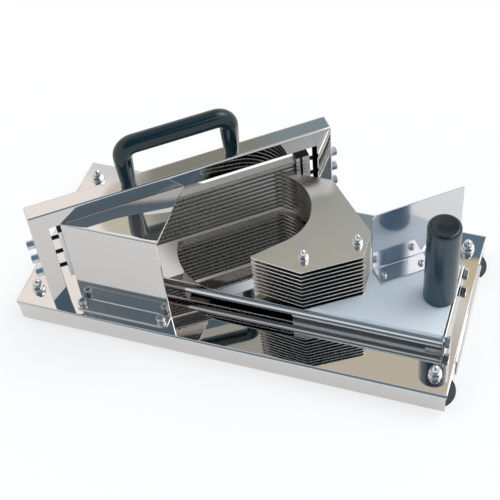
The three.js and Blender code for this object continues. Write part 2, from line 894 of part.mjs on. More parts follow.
// Through bolt with a head sunk in the board, a spacer under each plate and a cap nut on top
function throughBolt() {
  const profile = [
    [0, board.bottom + seatGap],
    [stackBolt.head, board.bottom + seatGap],
    [stackBolt.head, board.bottom + stackBolt.headHeight],
    [stackBolt.radius, board.bottom + stackBolt.headHeight],
  ];
  for (let i = 1; i <= plates.count; i += 1) {
    const below = bedTop + (i - 1) * plates.pitch + seatGap;
    const above = bedTop + i * plates.pitch - plates.sheet - seatGap;
    profile.push([stackBolt.radius, below], [stackBolt.spacer, below]);
    profile.push([stackBolt.spacer, above], [stackBolt.radius, above]);
  }
  const top = bedTop + plates.count * plates.pitch + seatGap;
  profile.push([stackBolt.radius, top + seatGap], [0, top + seatGap]);
  return join(turned(profile, 0, 0, spacerSides), capNutParts(stackBolt, top));
}

function handGuardPlate() {
  const { from, to, height, chamfer, sheet } = handGuard;
  const upright = polygon([
    [from + chamfer, 0],
    [to, 0],
    [to, height],
    [from + chamfer, height],
    [from, height - chamfer],
    [from, chamfer],
  ]);
  const flange = block(handGuard.flangeFrom, handGuard.flangeTo, -handGuard.flangeReach, sheet, 0, sheet);
  let body = join(runY(upright, 0, sheet), flange);
  const hole = boardScrew.radius + holeClearance;
  for (const along of [handGuard.firstScrew, handGuard.secondScrew]) {
    body = cut(body, post(hole, -cutPast, sheet + cutPast, along, -handGuard.screwLine));
  }
  return body;
}

function uprightGrip() {
  const { radius, height, rim, edge, dish, dishRadius, bore, boreDepth } = grip;
  const bottom = board.top + seatGap;
  const top = board.top + height;
  const boreEnd = bottom + boreDepth;
  const profile = [[0, boreEnd], [bore, boreEnd], [bore, bottom], [radius - edge, bottom]];
  profile.push([radius, bottom + edge]);
  const rimSteps = 5;
  for (let i = 0; i <= rimSteps; i += 1) {
    const angle = (i / rimSteps) * (Math.PI / 2);
    profile.push([radius - rim + rim * Math.cos(angle), top - rim + rim * Math.sin(angle)]);
  }
  profile.push([dishRadius, top], [0, top - dish]);
  return turned(profile);
}

function gripFixing() {
  const bottom = board.bottom + seatGap;
  const sinkTop = board.bottom + gripScrew.headHeight;
  return turned([
    [0, bottom],
    [gripScrew.head, bottom],
    [gripScrew.head, sinkTop],
    [gripScrew.radius, sinkTop],
    [gripScrew.radius, board.top + gripScrew.length],
    [0, board.top + gripScrew.length],
  ]);
}

function buildCarriage(carriage) {
  carriage.add(meshOf("slide_board", slideBoard(), whitePlastic));
  carriage.add(meshOf("bed_plate", bedPlate(), steel));
  for (let i = 1; i <= plates.count; i += 1) {
    const number = String(i).padStart(2, "0");
    const plate = meshOf(`pusher_plate_${number}`, pusherPlate(), satinSteel);
    carriage.add(placed(plate, 0, 0, bedTop + i * plates.pitch));
  }
  for (const [place, { x, y }] of Object.entries(stackBoltPlaces)) {
    carriage.add(placed(meshOf(`stack_bolt_${place}`, throughBolt(), fastenerSteel), x, y, 0));
  }
  const guardPlate = meshOf("hand_guard", handGuardPlate(), steel);
  guardPlate.rotation.z = slant;
  carriage.add(placed(guardPlate, handGuard.x, handGuard.y, board.top + seatGap));
  for (const [side, { x, y }] of Object.entries(boardScrewPlaces)) {
    const z = board.top + handGuard.sheet + seatGap * 2;
    carriage.add(placed(meshOf(`hand_guard_screw_${side}`, socketScrew(boardScrew), fastenerSteel), x, y, z));
  }
  carriage.add(placed(meshOf("grip", uprightGrip(), slatePlastic), grip.x, grip.y, 0));
  carriage.add(placed(meshOf("grip_screw", gripFixing(), fastenerSteel), grip.x, grip.y, 0));
}

const slicer = new THREE.Group();
const base = new THREE.Group();
const carriage = new THREE.Group();
carriage.position.x = rodEnd - board.endGap - board.right;
slicer.add(base, carriage);
buildBase(base);
buildBladeFrame(base);
buildFrontGuard(base);
buildRods(base);
buildCarriage(carriage);

// The origin moves to the middle of the footprint, on the table
slicer.updateMatrixWorld(true);
const whole = new THREE.Box3().setFromObject(slicer, true);
slicer.position.set(-(whole.min.x + whole.max.x) / 2, -(whole.min.y + whole.max.y) / 2, -whole.min.z);

export default slicer;
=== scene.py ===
# Push-slide tomato slicer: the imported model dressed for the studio. Metres, +Z up.
# Pieces are worked out on the deck's own axes: the origin is the front left corner of the deck's
# top face, x runs along the deck, y to the back and z up.
import math
from collections import namedtuple
import bmesh
import bpy
import numpy as np
from bpy.props import FloatProperty, FloatVectorProperty, IntProperty, PointerProperty
from mathutils import Matrix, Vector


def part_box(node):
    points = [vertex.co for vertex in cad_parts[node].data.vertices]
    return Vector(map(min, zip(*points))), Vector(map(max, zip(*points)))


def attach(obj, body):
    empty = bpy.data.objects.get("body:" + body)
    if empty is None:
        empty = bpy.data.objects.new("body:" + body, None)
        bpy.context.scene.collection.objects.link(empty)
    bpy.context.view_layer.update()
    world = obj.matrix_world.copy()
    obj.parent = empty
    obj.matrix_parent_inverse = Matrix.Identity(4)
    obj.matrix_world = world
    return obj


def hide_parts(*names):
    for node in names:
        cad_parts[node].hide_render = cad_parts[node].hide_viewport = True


bl_info = {
    "name": "Tomato slicer",
    "version": (1, 0, 0),
    "blender": (4, 5, 0),
    "location": "View3D > Sidebar > Slicer",
    "description": "Builds the dressed pieces of a push-slide tomato slicer",
    "category": "Add Mesh",
}

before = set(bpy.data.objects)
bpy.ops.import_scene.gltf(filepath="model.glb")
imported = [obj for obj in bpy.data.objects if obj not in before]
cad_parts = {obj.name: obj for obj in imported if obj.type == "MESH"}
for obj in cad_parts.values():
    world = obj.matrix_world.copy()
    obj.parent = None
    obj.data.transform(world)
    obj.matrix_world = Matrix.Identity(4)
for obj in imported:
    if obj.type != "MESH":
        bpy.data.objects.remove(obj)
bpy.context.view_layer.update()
MM = 0.001
# Lines this close to a fold keep the flats beside it flat
SUPPORT = 0.5 * MM
# Points closer than this are one
WELD = 0.002 * MM
# The air that the model leaves between pieces that touch
GAP = 0.05 * MM
# How far the tray's end folds stand out from the deck's ends
TAB_OUT = 1.5 * MM
tray_low, tray_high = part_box("base_tray")
DECK = np.array([tray_low[0] + TAB_OUT, tray_low[1], tray_high[2]])
SLANT = math.radians(37.5)
# How far nuts and socket screws happen to be turned, in radians
NUT_TURN, SCREW_TURN = 0.3, 0.2
# Width of the camera's sensor in millimetres, and of the photograph in pixels
SENSOR, FRAME_PIXELS = 36, 500

# The studio's dome: radiance at the horizon and overhead
DOME = ((1.1, 1.1, 1.1), (1.0, 1.0, 1.0))
# Its panels: azimuth from the back towards the right and elevation, where it is full and where it
# ends (degrees from its middle), and its radiance
PANELS = (
    # A grey overhead and a dark blue in front, which darken the level faces and their folds
    (0, 90, 8, 32, (0.5, 0.56, 0.64)),
    (162, 52, 30, 42, (0.18, 0.27, 0.36)),
    # A pale patch at the right, and the key light behind it with its core
    (116, 51, 6, 10, (2.0, 2.1, 2.3)),
    (52, 50, 20, 30, (2.4, 2.4, 2.4)),
    (52, 50, 9, 13, (5.0, 5.0, 5.0)),
    # A warm white at the back left, for the frame's top and the deck's left end
    (-58, 46, 17, 19.5, (1.32, 1.23, 1.18)),
    # Bands at the back that the deck, the beam and the front guard's roof mirror
    (-23, 55.5, 3.5, 6, (0.47, 0.47, 0.42)),
    (-13, 57, 3, 6, (0.78, 0.7, 0.58)),
    (-30.9, 47.2, 1.6, 1.9, (0.78, 0.75, 0.6)),
    (-22.5, 46.5, 4.5, 6, (0.36, 0.36, 0.31)),
    (-12, 44.5, 5, 7.5, (0.33, 0.42, 0.46)),
    (-5, 47, 3, 4.2, (0.17, 0.27, 0.36)),
    (-5, 51.2, 0.8, 1.8, (0.85, 0.72, 0.5)),
)


# Sizes and colours

def length(label, millimetres, description):
    """A length property whose default is given in millimetres."""
    return FloatProperty(
        name=label,
        description=description,
        default=millimetres * MM,
        min=0.0,
        precision=5,
        subtype="DISTANCE",
        unit="LENGTH",
    )


def place(label, x, y, z, description):
    """A position property on the deck's axes whose default is given in millimetres."""
    return FloatVectorProperty(
        name=label,
        description=description,
        default=(x * MM, y * MM, z * MM),
        size=3,
        precision=5,
        subtype="TRANSLATION",
        unit="LENGTH",
    )


def angle(label, degrees, description):
    """An angle property whose default is given in degrees."""
    return FloatProperty(
        name=label,
        description=description,
        default=math.radians(degrees),
        subtype="ANGLE",
        unit="ROTATION",
    )


def linear(hex_text):
    """sRGB hex to linear: c / 12.92 up to 0.04045, else ((c + 0.055) / 1.055) ** 2.4."""
    channels = [int(hex_text[i:i + 2], 16) / 255 for i in (1, 3, 5)]
    return [c / 12.92 if c <= 0.04045 else ((c + 0.055) / 1.055) ** 2.4 for c in channels]


def colour(label, hex_text, description):
    """A colour property whose default is an sRGB hex value turned to linear."""
    return FloatVectorProperty(
        name=label,
        description=description,
        default=linear(hex_text),
        size=3,
        min=0.0,
        max=1.0,
        subtype="COLOR",
    )


class SLICER_PG_tray(bpy.types.PropertyGroup):
    length: length("Length", 430, "Length of the deck, without its end folds")
    width: length("Width", 199, "Depth of the deck from front to back")
    sheet: length("Sheet", 1.5, "Thickness of the tray's sheet")
    depth: length("Skirt depth", 22.5, "Height of the skirts below the deck's top face")
    bend: length("Bend radius", 3, "Outer radius of the long folds")
    tab_bend: length("End bend radius", 3, "Outer radius of the end folds")
    left_corner: length("Left corners", 3.5, "Radius of the corners at the left end")
    right_corner: length("Right corners", 0.8, "Radius of the corners at the right end")
    tab_from: length("End fold from", 42, "Where the end folds start, from the front")
    tab_to: length("End fold to", 160, "Where the end folds stop, from the front")


class SLICER_PG_feet(bpy.types.PropertyGroup):
    left: length("Left", 15.5, "Place of the left feet along the deck")
    right: length("Right", 414.5, "Place of the right feet along the deck")
    front: length("Front", 22.5, "Place of the front feet across the deck")
    back: length("Back", 176, "Place of the back feet across the deck")
    floor: length("Floor", 26, "Height of the deck's top face over the table")
    rim: length("Cup radius", 20.5, "Radius of the suction cup's rim")
    neck: length("Neck radius", 7.8, "Radius of the neck under the deck")


class SLICER_PG_frame(bpy.types.PropertyGroup):
    corner: place("Corner", 39.9, 6.8, 0, "Front left corner of the blade frame on the deck")
    length: length("Length", 295.5, "Length of the blade frame along its front")
    depth: length("Depth", 18, "Depth of the folded channel")
    height: length("Height", 125.75, "Height of the blade frame over the deck")
    sheet: length("Sheet", 1.5, "Thickness of the frame's sheet")
    bend: length("Bend radius", 1.8, "Outer radius of its folds")
    leg: length("Left leg", 16.4, "Width of the left leg")
    right_leg: length("Right leg", 14.6, "Width of the right leg")
    end_bend: length("End radius", 1.7, "Outer radius of the frame's ends")
    window: length("Window height", 107.5, "Height of the opening that the blades span")
    sole: length("Sole", 12, "Reach of the soles inside the legs")
    comb_face: length("Comb face", 4.6, "Depth of the comb holders' face behind the frame's front")
    left_comb: length("Left comb", 23.5, "Left end of the left comb holder, from the frame's left")
    right_comb: length("Right comb", 273.8, "Right end of the right comb holder, from the frame's left")
    first_screw: length("First screw", 44, "Height of the lowest tension screws over the deck")
    screw_step: length("Screw step", 20, "Height from one tension screw to the next")


class SLICER_PG_handle(bpy.types.PropertyGroup):
    first_leg: length("First leg", 97.9, "Place of the first leg along the blade frame")
    span: length("Span", 101, "Distance between the legs' middles")
    radius: length("Grip radius", 8.8, "Radius of the bar that the hand holds")
    foot_radius: length("Foot radius", 7, "Radius of the legs at the frame")
    bend: length("Bend", 12, "Radius of the middle line at the corners")
    height: length("Height", 45.5, "Height of the bar's middle line over the frame")


class SLICER_PG_front_guard(bpy.types.PropertyGroup):
    left: length("Left", 62.5, "Left edge of the face")
    right: length("Right", 156.5, "Right edge of the face")
    front: length("Front", 22, "Place of the face, from the deck's front edge")
    height: length("Height", 109, "Height of the roof over the deck")
    sheet: length("Sheet", 1.5, "Thickness of the guard's sheet")
    bend: length("Bend radius", 2.5, "Outer radius of the fold to the roof")
    flange: length("Flange front", 8, "Front edge of the foot flange")
    corner: length("Flange corner", 5, "Radius of the flange's corners")
    screw_left: length("Left screw", 67.5, "Place of the left screw along the deck")
    screw_right: length("Right screw", 149, "Place of the right screw along the deck")
    screw_line: length("Screw line", 15.2, "Place of the screws across the deck")


class SLICER_PG_rails(bpy.types.PropertyGroup):
    front: length("Front rod", 51, "Place of the front rod across the deck")
    back: length("Back rod", 134, "Place of the back rod across the deck")
    height: length("Rod height", 14, "Height of the rods' middle over the deck")
    radius: length("Rod radius", 5, "Radius of the rods")
    start: length("From", 64, "Left end of the rods")
    stop: length("To", 415.7, "Right end of the rods")
    sheet: length("Bracket sheet", 2, "Thickness of the brackets")
    margin: length("Bracket margin", 5, "How far the brackets reach past the rods")
    tall: length("Bracket height", 23.5, "Height of the brackets")
    foot: length("Bracket foot", 18, "Length of the brackets' feet")
    corner: length("Bracket corner", 4, "Radius of the brackets' top corners")


class SLICER_PG_board(bpy.types.PropertyGroup):
    ease: length("Eased edge", 0.8, "Width of the eased edges")


class SLICER_PG_stack(bpy.types.PropertyGroup):
    count: IntProperty(name="Plates", description="Number of pusher plates", default=10, min=1)
    pitch: length("Pitch", 5.5, "Height from one plate to the next")
    sheet: length("Plate sheet", 1, "Thickness of the plates")
    front_bolt: place("Front bolt", 281, 62.5, 25, "Front bolt of the stack on the bed plate")
    back_bolt: place("Back bolt", 324, 92, 25, "Back bolt of the stack on the bed plate")
    notch: place("Notch", 316.8, 136.1, 25, "Corner of the notch before it is rounded")
    notch_radius: length("Notch radius", 47, "Radius of the hollow in the plates")
    spacer: length("Spacer radius", 5.5, "Radius of the spacers between the plates")


class SLICER_PG_hand_guard(bpy.types.PropertyGroup):
    corner: place("Corner", 336.7, 109.4, 24.05, "Start of the fold on the board")
    reach: length("Length", 89, "Length of the upright along the fold")
    height: length("Height", 78, "Height of the upright over the board")
    sheet: length("Sheet", 1.5, "Thickness of the guard's sheet")
    chamfer: length("Chamfer", 4, "Size of the cut corners at the near end")
    flange: length("Flange", 19, "Reach of the foot flange from the fold")
    flange_to: length("Flange to", 50, "Where the foot flange stops along the fold")
    first_screw: length("First screw", 4, "Place of the first screw along the fold")
    second_screw: length("Second screw", 43, "Place of the second screw along the fold")
    screw_line: length("Screw line", 11, "Distance of the screws from the fold")


class SLICER_PG_grip(bpy.types.PropertyGroup):
    middle: place("Middle", 402, 95, 24.05, "Foot of the grip on the board")
    radius: length("Radius", 15.5, "Radius of the grip")
    height: length("Height", 98.95, "Height of the grip")
    rim: length("Rim", 3.3, "Radius of the rounded rim")


class SLICER_PG_finish(bpy.types.PropertyGroup):
    steel: colour("Polished steel", "#cac8c6", "Mirror-polished stainless sheet")
    buffed: colour("Buffed steel", "#e8e3e0", "Buffed stainless sheet of the hand guard")
    # Painted reflection: a bluish diffuse share in the hand guard's sheet, for the blue that its reflections
    # show
    film: colour("Film", "#8fb4d4", "Bluish film left on the buffed sheet")
    satin: colour("Satin steel", "#c9c5bc", "Satin stainless plate")
    # Painted highlight: a near-white colour for the plates' edges, for the light that they catch
    painted_edge_highlight: colour("Sheared edges", "#f7f6f4", "Sheared edges of the satin plates")
    blade: colour("Blade steel", "#b4b5b4", "Ground blade strip")
    comb: colour("Comb face", "#e4e6e8", "Milled face of the comb holders")
    # On the comb holders this dark colour is painted shade in their slots and sides; on the tension shanks it
    # is their black oxide
    oxide: colour("Black oxide", "#222528", "Black oxide on the comb holders")
    fastener: colour("Fasteners", "#c9cbcc", "Turned and polished fasteners")
    board: colour("Board", "#dde6ed", "Milled polyethylene")
    handle: colour("Handle", "#062028", "Gloss moulded handle")
    # Painted shade: a darker colour for the grip's top, for the dark that it mirrors
    grip: colour("Grip", "#1d3844", "Slate moulded grip")
    grip_top_painted_shade: colour("Grip end", "#091a22", "Polished end of the grip")
    rubber: colour("Feet", "#1e2124", "Moulded rubber")
    floor: colour("Floor", "#f8f8f8", "Painted studio floor")


class SLICER_PG_studio(bpy.types.PropertyGroup):
    focal: FloatProperty(
        name="Focal length",
        description="In pixels of the 500 pixel frame",
        default=1166.481,
    )
    azimuth: angle("Azimuth", 21.84, "Camera azimuth, from the front towards the right")
    elevation: angle("Elevation", 50.012, "Camera elevation")
    roll: angle("Roll", -5.765, "Camera roll")
    offset: place("Offset", -246.234, -51.629, -1150.528, "The deck's corner as the camera sees it")
    shift: FloatProperty(name="Shift", description="Sideways lens shift", default=-0.03)
    floor: length("Floor", 4000, "Half the width of the studio floor")


# Mesh work

def grid_faces(rows, columns, closed=False):
    """Quads between neighbouring points of a grid; closed joins the last column to the first."""
    across = columns if closed else columns - 1
    i, j = np.meshgrid(np.arange(rows - 1), np.arange(across), indexing="ij")
    near = (j + 1) % columns
    low, high = i * columns, (i + 1) * columns
    return np.stack([low + j, low + near, high + near, high + j], axis=-1).reshape(-1, 4)


def grid(points, keep=None, flip=False, closed=False):
    """A part (vertices, faces) from a rows x columns x 3 array; keep masks the cells that stay."""
    rows, columns = points.shape[:2]
    faces = grid_faces(rows, columns, closed)
    if keep is not None:
        faces = faces[keep.reshape(-1)]
    if flip:
        faces = faces[:, ::-1]
    return points.reshape(-1, 3), faces.tolist()


def joined(parts):
    """Several parts as one: their vertices in a row and their faces counted on."""
    vertices, faces, start = [], [], 0
    for points, cells in parts:
        vertices.append(points)
        faces.extend([[corner + start for corner in cell] for cell in cells])
        start += len(points)
    return np.concatenate(vertices), faces


def turned_about_z(points, turn):
    """Points turned about z by an angle a: x cos a - y sin a, x sin a + y cos a."""
    c, s = math.cos(turn), math.sin(turn)
    return points @ np.array([[c, s, 0.0], [-s, c, 0.0], [0.0, 0.0, 1.0]])


def moved(part, at=(0, 0, 0), turn=0.0, axis=None):
    """A part set with its own z along axis, turned about z, then moved to a place."""
    points, faces = part
    if axis == "x":
        points = points[:, [2, 1, 0]] * [1, 1, -1]
    if axis == "-x":
        points = points[:, [2, 1, 0]] * [-1, 1, 1]
    return turned_about_z(points, turn) + np.asarray(at), faces


def arc(centre, radius, start, end, steps=12):
    """Points on a circle: centre + radius (cos a, sin a), with a from start to end in degrees."""
    angles = np.radians(np.linspace(start, end, steps + 1))
    return np.asarray(centre) + radius * np.stack([np.cos(angles), np.sin(angles)], axis=-1)


def run(start, end, beside=SUPPORT):
    """A straight run with a support point close to each end, so that a flat stays flat up to its fold."""
    start, end = np.asarray(start, float), np.asarray(end, float)
    step = (end - start) / np.linalg.norm(end - start) * beside
    return np.array([start, start + step, end - step, end])


def stations(*stops, beside=SUPPORT):
    """The stops in rising order with a support line close to each side of them."""
    stops = np.unique(np.round(np.array(stops, float), 8))
    lines = np.concatenate([stops, stops[:-1] + beside, stops[1:] - beside])
    return np.unique(np.round(lines, 8))


def rounding(radius, distance):
    """How far a quarter circle stands back from a corner's side, at a distance from the corner:
    r - sqrt(r^2 - (r - distance)^2), and nothing past the radius."""
    return radius - np.sqrt(radius ** 2 - np.clip(radius - distance, 0, radius) ** 2)


def carried(x, section, flip=False):
    """A section in y and z carried along x, whose rows give the place of each of its points."""
    y = np.broadcast_to(section[:, 0], x.shape)
    z = np.broadcast_to(section[:, 1], x.shape)
    return grid(np.stack([x, y, z], axis=-1), flip=flip)


def rings(rows, sides=48):
    """A turned surface: each row is (radius, height), and either may change with the angle round."""
    angles = np.arange(sides) * 2 * np.pi / sides
    radius = np.stack([np.broadcast_to(r, sides) for r, _ in rows])
    height = np.stack([np.broadcast_to(h, sides) for _, h in rows])
    points = np.stack([radius * np.cos(angles), radius * np.sin(angles), height], axis=-1)
    return grid(points, closed=True)


def hex_radius(across_flats, sides):
    """A hexagon's radius at each angle: half its width over cos of the angle from the flat's middle."""
    angles = np.arange(sides) * 2 * np.pi / sides
    return across_flats / 2 / np.cos((angles % (np.pi / 3)) - np.pi / 6)


def hex_head(across_flats, bottom, top, sides=72):
    """A hexagon with its corners cut by 30 degree cones: top - (r - 0.94 half width) tan 30."""
    corner = hex_radius(across_flats, sides)
    flat = 0.94 * across_flats / 2
    drop = (corner - flat) * math.tan(math.radians(30))
    lower = [(0, bottom), (flat, bottom), (corner, bottom + drop)]
    upper = [(corner, top - drop), (flat, top), (0, top)]
    return rings(lower + upper, sides)


def dome_rows(radius, bottom, rise, steps=8):
    """A quarter ellipse that ends in its pole: radius cos a, bottom + rise sin a."""
    angles = np.linspace(0, np.pi / 2, steps + 1)
    radii = radius * np.cos(angles)
    radii[-1] = 0.0
    return list(zip(radii, bottom + rise * np.sin(angles)))


def cap_nut(washer, washer_height, across_flats, hex_height, dome, dome_height, bottom=GAP):
    """A washer with eased edges, a chamfered hexagon, and a dome on a short collar."""
    ease = 0.25 * MM
    hex_bottom = bottom + washer_height
    hex_top = hex_bottom + hex_height
    plate = rings([
        (0, bottom), (washer - ease, bottom), (washer, bottom + ease), (washer, hex_bottom - ease),
        (washer - ease, hex_bottom), (0, hex_bottom),
    ])
    collar = min(0.6 * MM, dome_height / 2)
    rows = [(0, hex_top - collar), (dome, hex_top - collar), (dome, hex_top)]
    cap = rings(rows + dome_rows(dome, hex_top + collar, dome_height - collar))
    return joined([plate, hex_head(across_flats, hex_bottom, hex_top), cap])


def screw_shank(radius, reach):
    """A plain shank below z = 0, whose top stands a little into its head."""
    top = 0.1 * MM
    return rings([(0, -reach), (radius, -reach), (radius, top), (0, top)], 24)


def socket_screw(radius, head, head_height, chamfer, socket, socket_depth, reach):
    """A turned head on z = 0 whose top sinks into a hexagonal socket, with its shank below."""
    sides = 72
    key = hex_radius(socket, sides)
    ease = 0.15 * MM
    round_off = 0.3 * chamfer
    drill_point = 0.5 * MM
    floor = head_height - socket_depth
    rows = [
        (0, -reach), (radius, -reach), (radius, 0), (head - ease, 0), (head, ease),
        (head, head_height - chamfer), (head - round_off, head_height - round_off),
        (head - chamfer, head_height), (key + ease, head_height), (key, head_height - ease),
        (key, floor), (0, floor - drill_point),
    ]
    return rings(rows, sides)


def rounded_outline(corners, radii, chord=3.0):
    """A closed outline whose corners are arcs: each touches its sides at radius / tan(half angle)."""
    corners = np.asarray(corners, float)
    pieces = []
    for here, before, after, radius in zip(corners, np.roll(corners, 1, 0), np.roll(corners, -1, 0), radii):
        back = (before - here) / np.linalg.norm(before - here)
        on = (after - here) / np.linalg.norm(after - here)
        half = math.acos(float(back @ on)) / 2
        middle = here + (back + on) / np.linalg.norm(back + on) * radius / math.sin(half)
        start = here + back * radius / math.tan(half) - middle
        side = -1 if back[0] * on[1] - back[1] * on[0] > 0 else 1
        sweep = side * (180 - 2 * math.degrees(half))
        first = math.degrees(math.atan2(start[1], start[0]))
        steps = max(4, int(abs(sweep) / chord))
        pieces.append(arc(middle, radius, first, first + sweep, steps))
    return np.concatenate(pieces)


def slab(outline, bottom, top):
    """A plate: its outline at two heights, walls between them and a flat face on each."""
    count = len(outline)
    low = np.column_stack([outline, np.full(count, bottom)])
    high = np.column_stack([outline, np.full(count, top)])
    walls = grid_faces(2, count, closed=True).tolist()
    lids = [list(range(count - 1, -1, -1)), list(range(count, 2 * count))]
    return np.concatenate([low, high]), walls + lids


def merged(mesh):
    """A mesh of its own to work on, with its doubles merged."""
    work = bmesh.new()
    work.from_mesh(mesh)
    bmesh.ops.remove_doubles(work, verts=work.verts, dist=WELD)
    return work


def add_piece(
    name, part, body, finish, replaces=(),
    sheet=0.0, ease=0.0, sharp=50, crisp=None, closed=True,
):
    """Puts a part on the deck as one object, its wall thickened inward and its edges eased.

    Folds over the sharp angle are eased, and those over the crisp angle are shaded as edges. A
    closed part has its faces turned outward; an open sheet already has its outer face outward.
    """
    crisp = crisp or sharp
    points, faces = part
    mesh = bpy.data.meshes.new(name)
    mesh.from_pydata((points + DECK).tolist(), [], faces)
    work = merged(mesh)
    bmesh.ops.dissolve_degenerate(work, edges=work.edges, dist=WELD)
    if closed:
        bmesh.ops.recalc_face_normals(work, faces=work.faces)
    work.to_mesh(mesh)
    work.free()
    mesh.shade_smooth()
    piece = bpy.data.objects.new(name, mesh)
    bpy.context.scene.collection.objects.link(piece)
    if sheet:
        wall = piece.modifiers.new("Sheet", "SOLIDIFY")
        wall.thickness = sheet
        wall.offset = -1
        wall.use_even_offset = True
    if ease:
        edges = piece.modifiers.new("Eased edges", "BEVEL")
        edges.width = ease
        edges.segments = 2
        edges.limit_method = "ANGLE"
        edges.angle_limit = math.radians(sharp)
        edges.harden_normals = crisp == sharp
        edges.loop_slide = False
    if sheet or ease:
        ready = piece.evaluated_get(bpy.context.evaluated_depsgraph_get())
        done = bpy.data.meshes.new_from_object(ready)
        piece.modifiers.clear()
        piece.data = done
        bpy.data.meshes.remove(mesh)
        done.name = name
    piece.data.set_sharp_from_angle(angle=math.radians(crisp))
    piece.data.materials.clear()
    piece.data.materials.append(finish)
    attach(piece, body)
    if replaces:
        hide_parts(*replaces)
    return piece


def dress_node(name, finish):
    """Gives a CAD node that stays its material."""
    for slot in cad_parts[name].material_slots:
        slot.material = finish


# Materials

def add_node(tree, kind, values=(), links=(), **settings):
    """Adds a node, sets its settings and socket values, and links sockets to its inputs."""
    node = tree.nodes.new(kind)
    for key, value in settings.items():
        setattr(node, key, value)
    for key, value in dict(values).items():
        node.inputs[key].default_value = value
    for key, source in dict(links).items():
        tree.links.new(source, node.inputs[key])
    return node


# A material with its tree, its shader, its texture coordinates and the height of its noise
Surface = namedtuple("Surface", "item tree shader where height", defaults=(None, None))


def rgba(colour_value):
    """A colour with full alpha."""
    return (*colour_value, 1)


def plain_surface(name, colour_value, metallic=0.0, rough=0.5):
    """A material of one colour and one roughness."""
    item = bpy.data.materials.new(name)
    item.use_nodes = True
    shader = item.node_tree.nodes["Principled BSDF"]
    shader.inputs["Base Color"].default_value = rgba(colour_value)
    shader.inputs["Metallic"].default_value = metallic
    shader.inputs["Roughness"].default_value = rough
    return Surface(item, item.node_tree, shader)


def worn_surface(name, colour_value, metallic, grain, detail, rough, relief=0.0, strength=1.0, turn=0.0):
    """A material with one noise on Object coordinates, which its roughness and relief follow.

    grain is the size of the noise's clouds, one value or one for each axis, turned about z. rough is
    one value, or the roughness where the noise is low and where it is high. relief is its height.
    """
    even = np.ndim(rough) == 0
    made = plain_surface(name, colour_value, metallic, rough if even else rough[0])
    tree, shader = made.tree, made.shader
    where = add_node(tree, "ShaderNodeTexCoord").outputs
    at = where["Object"]
    if turn:
        at = add_node(tree, "ShaderNodeMapping", {"Rotation": (0, 0, turn)}, {"Vector": at}).outputs["Vector"]
    scale = tuple(1 / size for size in np.broadcast_to(grain, 3))
    at = add_node(tree, "ShaderNodeMapping", {"Scale": scale}, {"Vector": at}).outputs["Vector"]
    noise = add_node(tree, "ShaderNodeTexNoise", {"Scale": 1.0, "Detail": detail}, {"Vector": at})
    height = noise.outputs["Fac"]
    if not even:
        # The noise seldom leaves 0.3 to 0.7
        limits = {"From Min": 0.3, "From Max": 0.7, "To Min": rough[0], "To Max": rough[1]}
        gloss = add_node(tree, "ShaderNodeMapRange", limits, {"Value": height})
        tree.links.new(gloss.outputs["Result"], shader.inputs["Roughness"])
    if relief:
        values = {"Strength": strength, "Distance": relief}
        bump = add_node(tree, "ShaderNodeBump", values, {"Height": height})
        tree.links.new(bump.outputs["Normal"], shader.inputs["Normal"])
    return made._replace(where=where, height=height)


def two_tone(made, value, low, high, first, second):
    """Base colour that goes from first to second while a value goes from low to high."""
    tree = made.tree
    share = add_node(tree, "ShaderNodeMapRange", {"From Min": low, "From Max": high}, {"Value": value})
    colours = {"A": rgba(first), "B": rgba(second)}
    tint = add_node(tree, "ShaderNodeMix", colours, {"Factor": share.outputs["Result"]}, data_type="RGBA")
    tree.links.new(tint.outputs["Result"], made.shader.inputs["Base Color"])


def mirror_steel(name, colour_value, bloom=0.0):
    """Stainless sheet, cold rolled and mirror polished: crisp reflections that swim a little.

    Wiping leaves clouds of haze about 25 mm across. Bloom is the share of a milky film.
    """
    made = worn_surface(name, colour_value, 1 - bloom, 25 * MM, 3.0, (0.02, 0.05))
    # Rolled sheet is flat to a few hundredths over about 70 mm
    values = {"Scale": 1 / (70 * MM), "Detail": 1.0}
    wave = add_node(made.tree, "ShaderNodeTexNoise", values, {"Vector": made.where["Object"]})
    values = {"Strength": 1.0, "Distance": 0.05 * MM}
    bump = add_node(made.tree, "ShaderNodeBump", values, {"Height": wave.outputs["Fac"]})
    made.tree.links.new(bump.outputs["Normal"], made.shader.inputs["Normal"])
    return made.item


def buffed_steel(name, colour_value, painted_reflection_blue):
    """Stainless sheet, buffed after folding: soft reflections, with a bluish diffuse mixed in.

    The buffing clouds are about 18 mm across. The bluish diffuse is painted reflection: it lifts what is dark
    with the blue that the reflections show.
    """
    made = worn_surface(name, colour_value, 1, 18 * MM, 2.0, (0.07, 0.13), relief=0.04 * MM)
    # Painted reflection: 22 % of a bluish diffuse, for the blue in the sheet's reflections
    film = add_node(made.tree, "ShaderNodeBsdfDiffuse", {"Color": rgba(painted_reflection_blue)})
    links = {1: made.shader.outputs["BSDF"], 2: film.outputs["BSDF"]}
    both = add_node(made.tree, "ShaderNodeMixShader", {0: 0.22}, links)
    out = made.tree.nodes["Material Output"]
    made.tree.links.new(both.outputs["Shader"], out.inputs["Surface"])
    return made.item


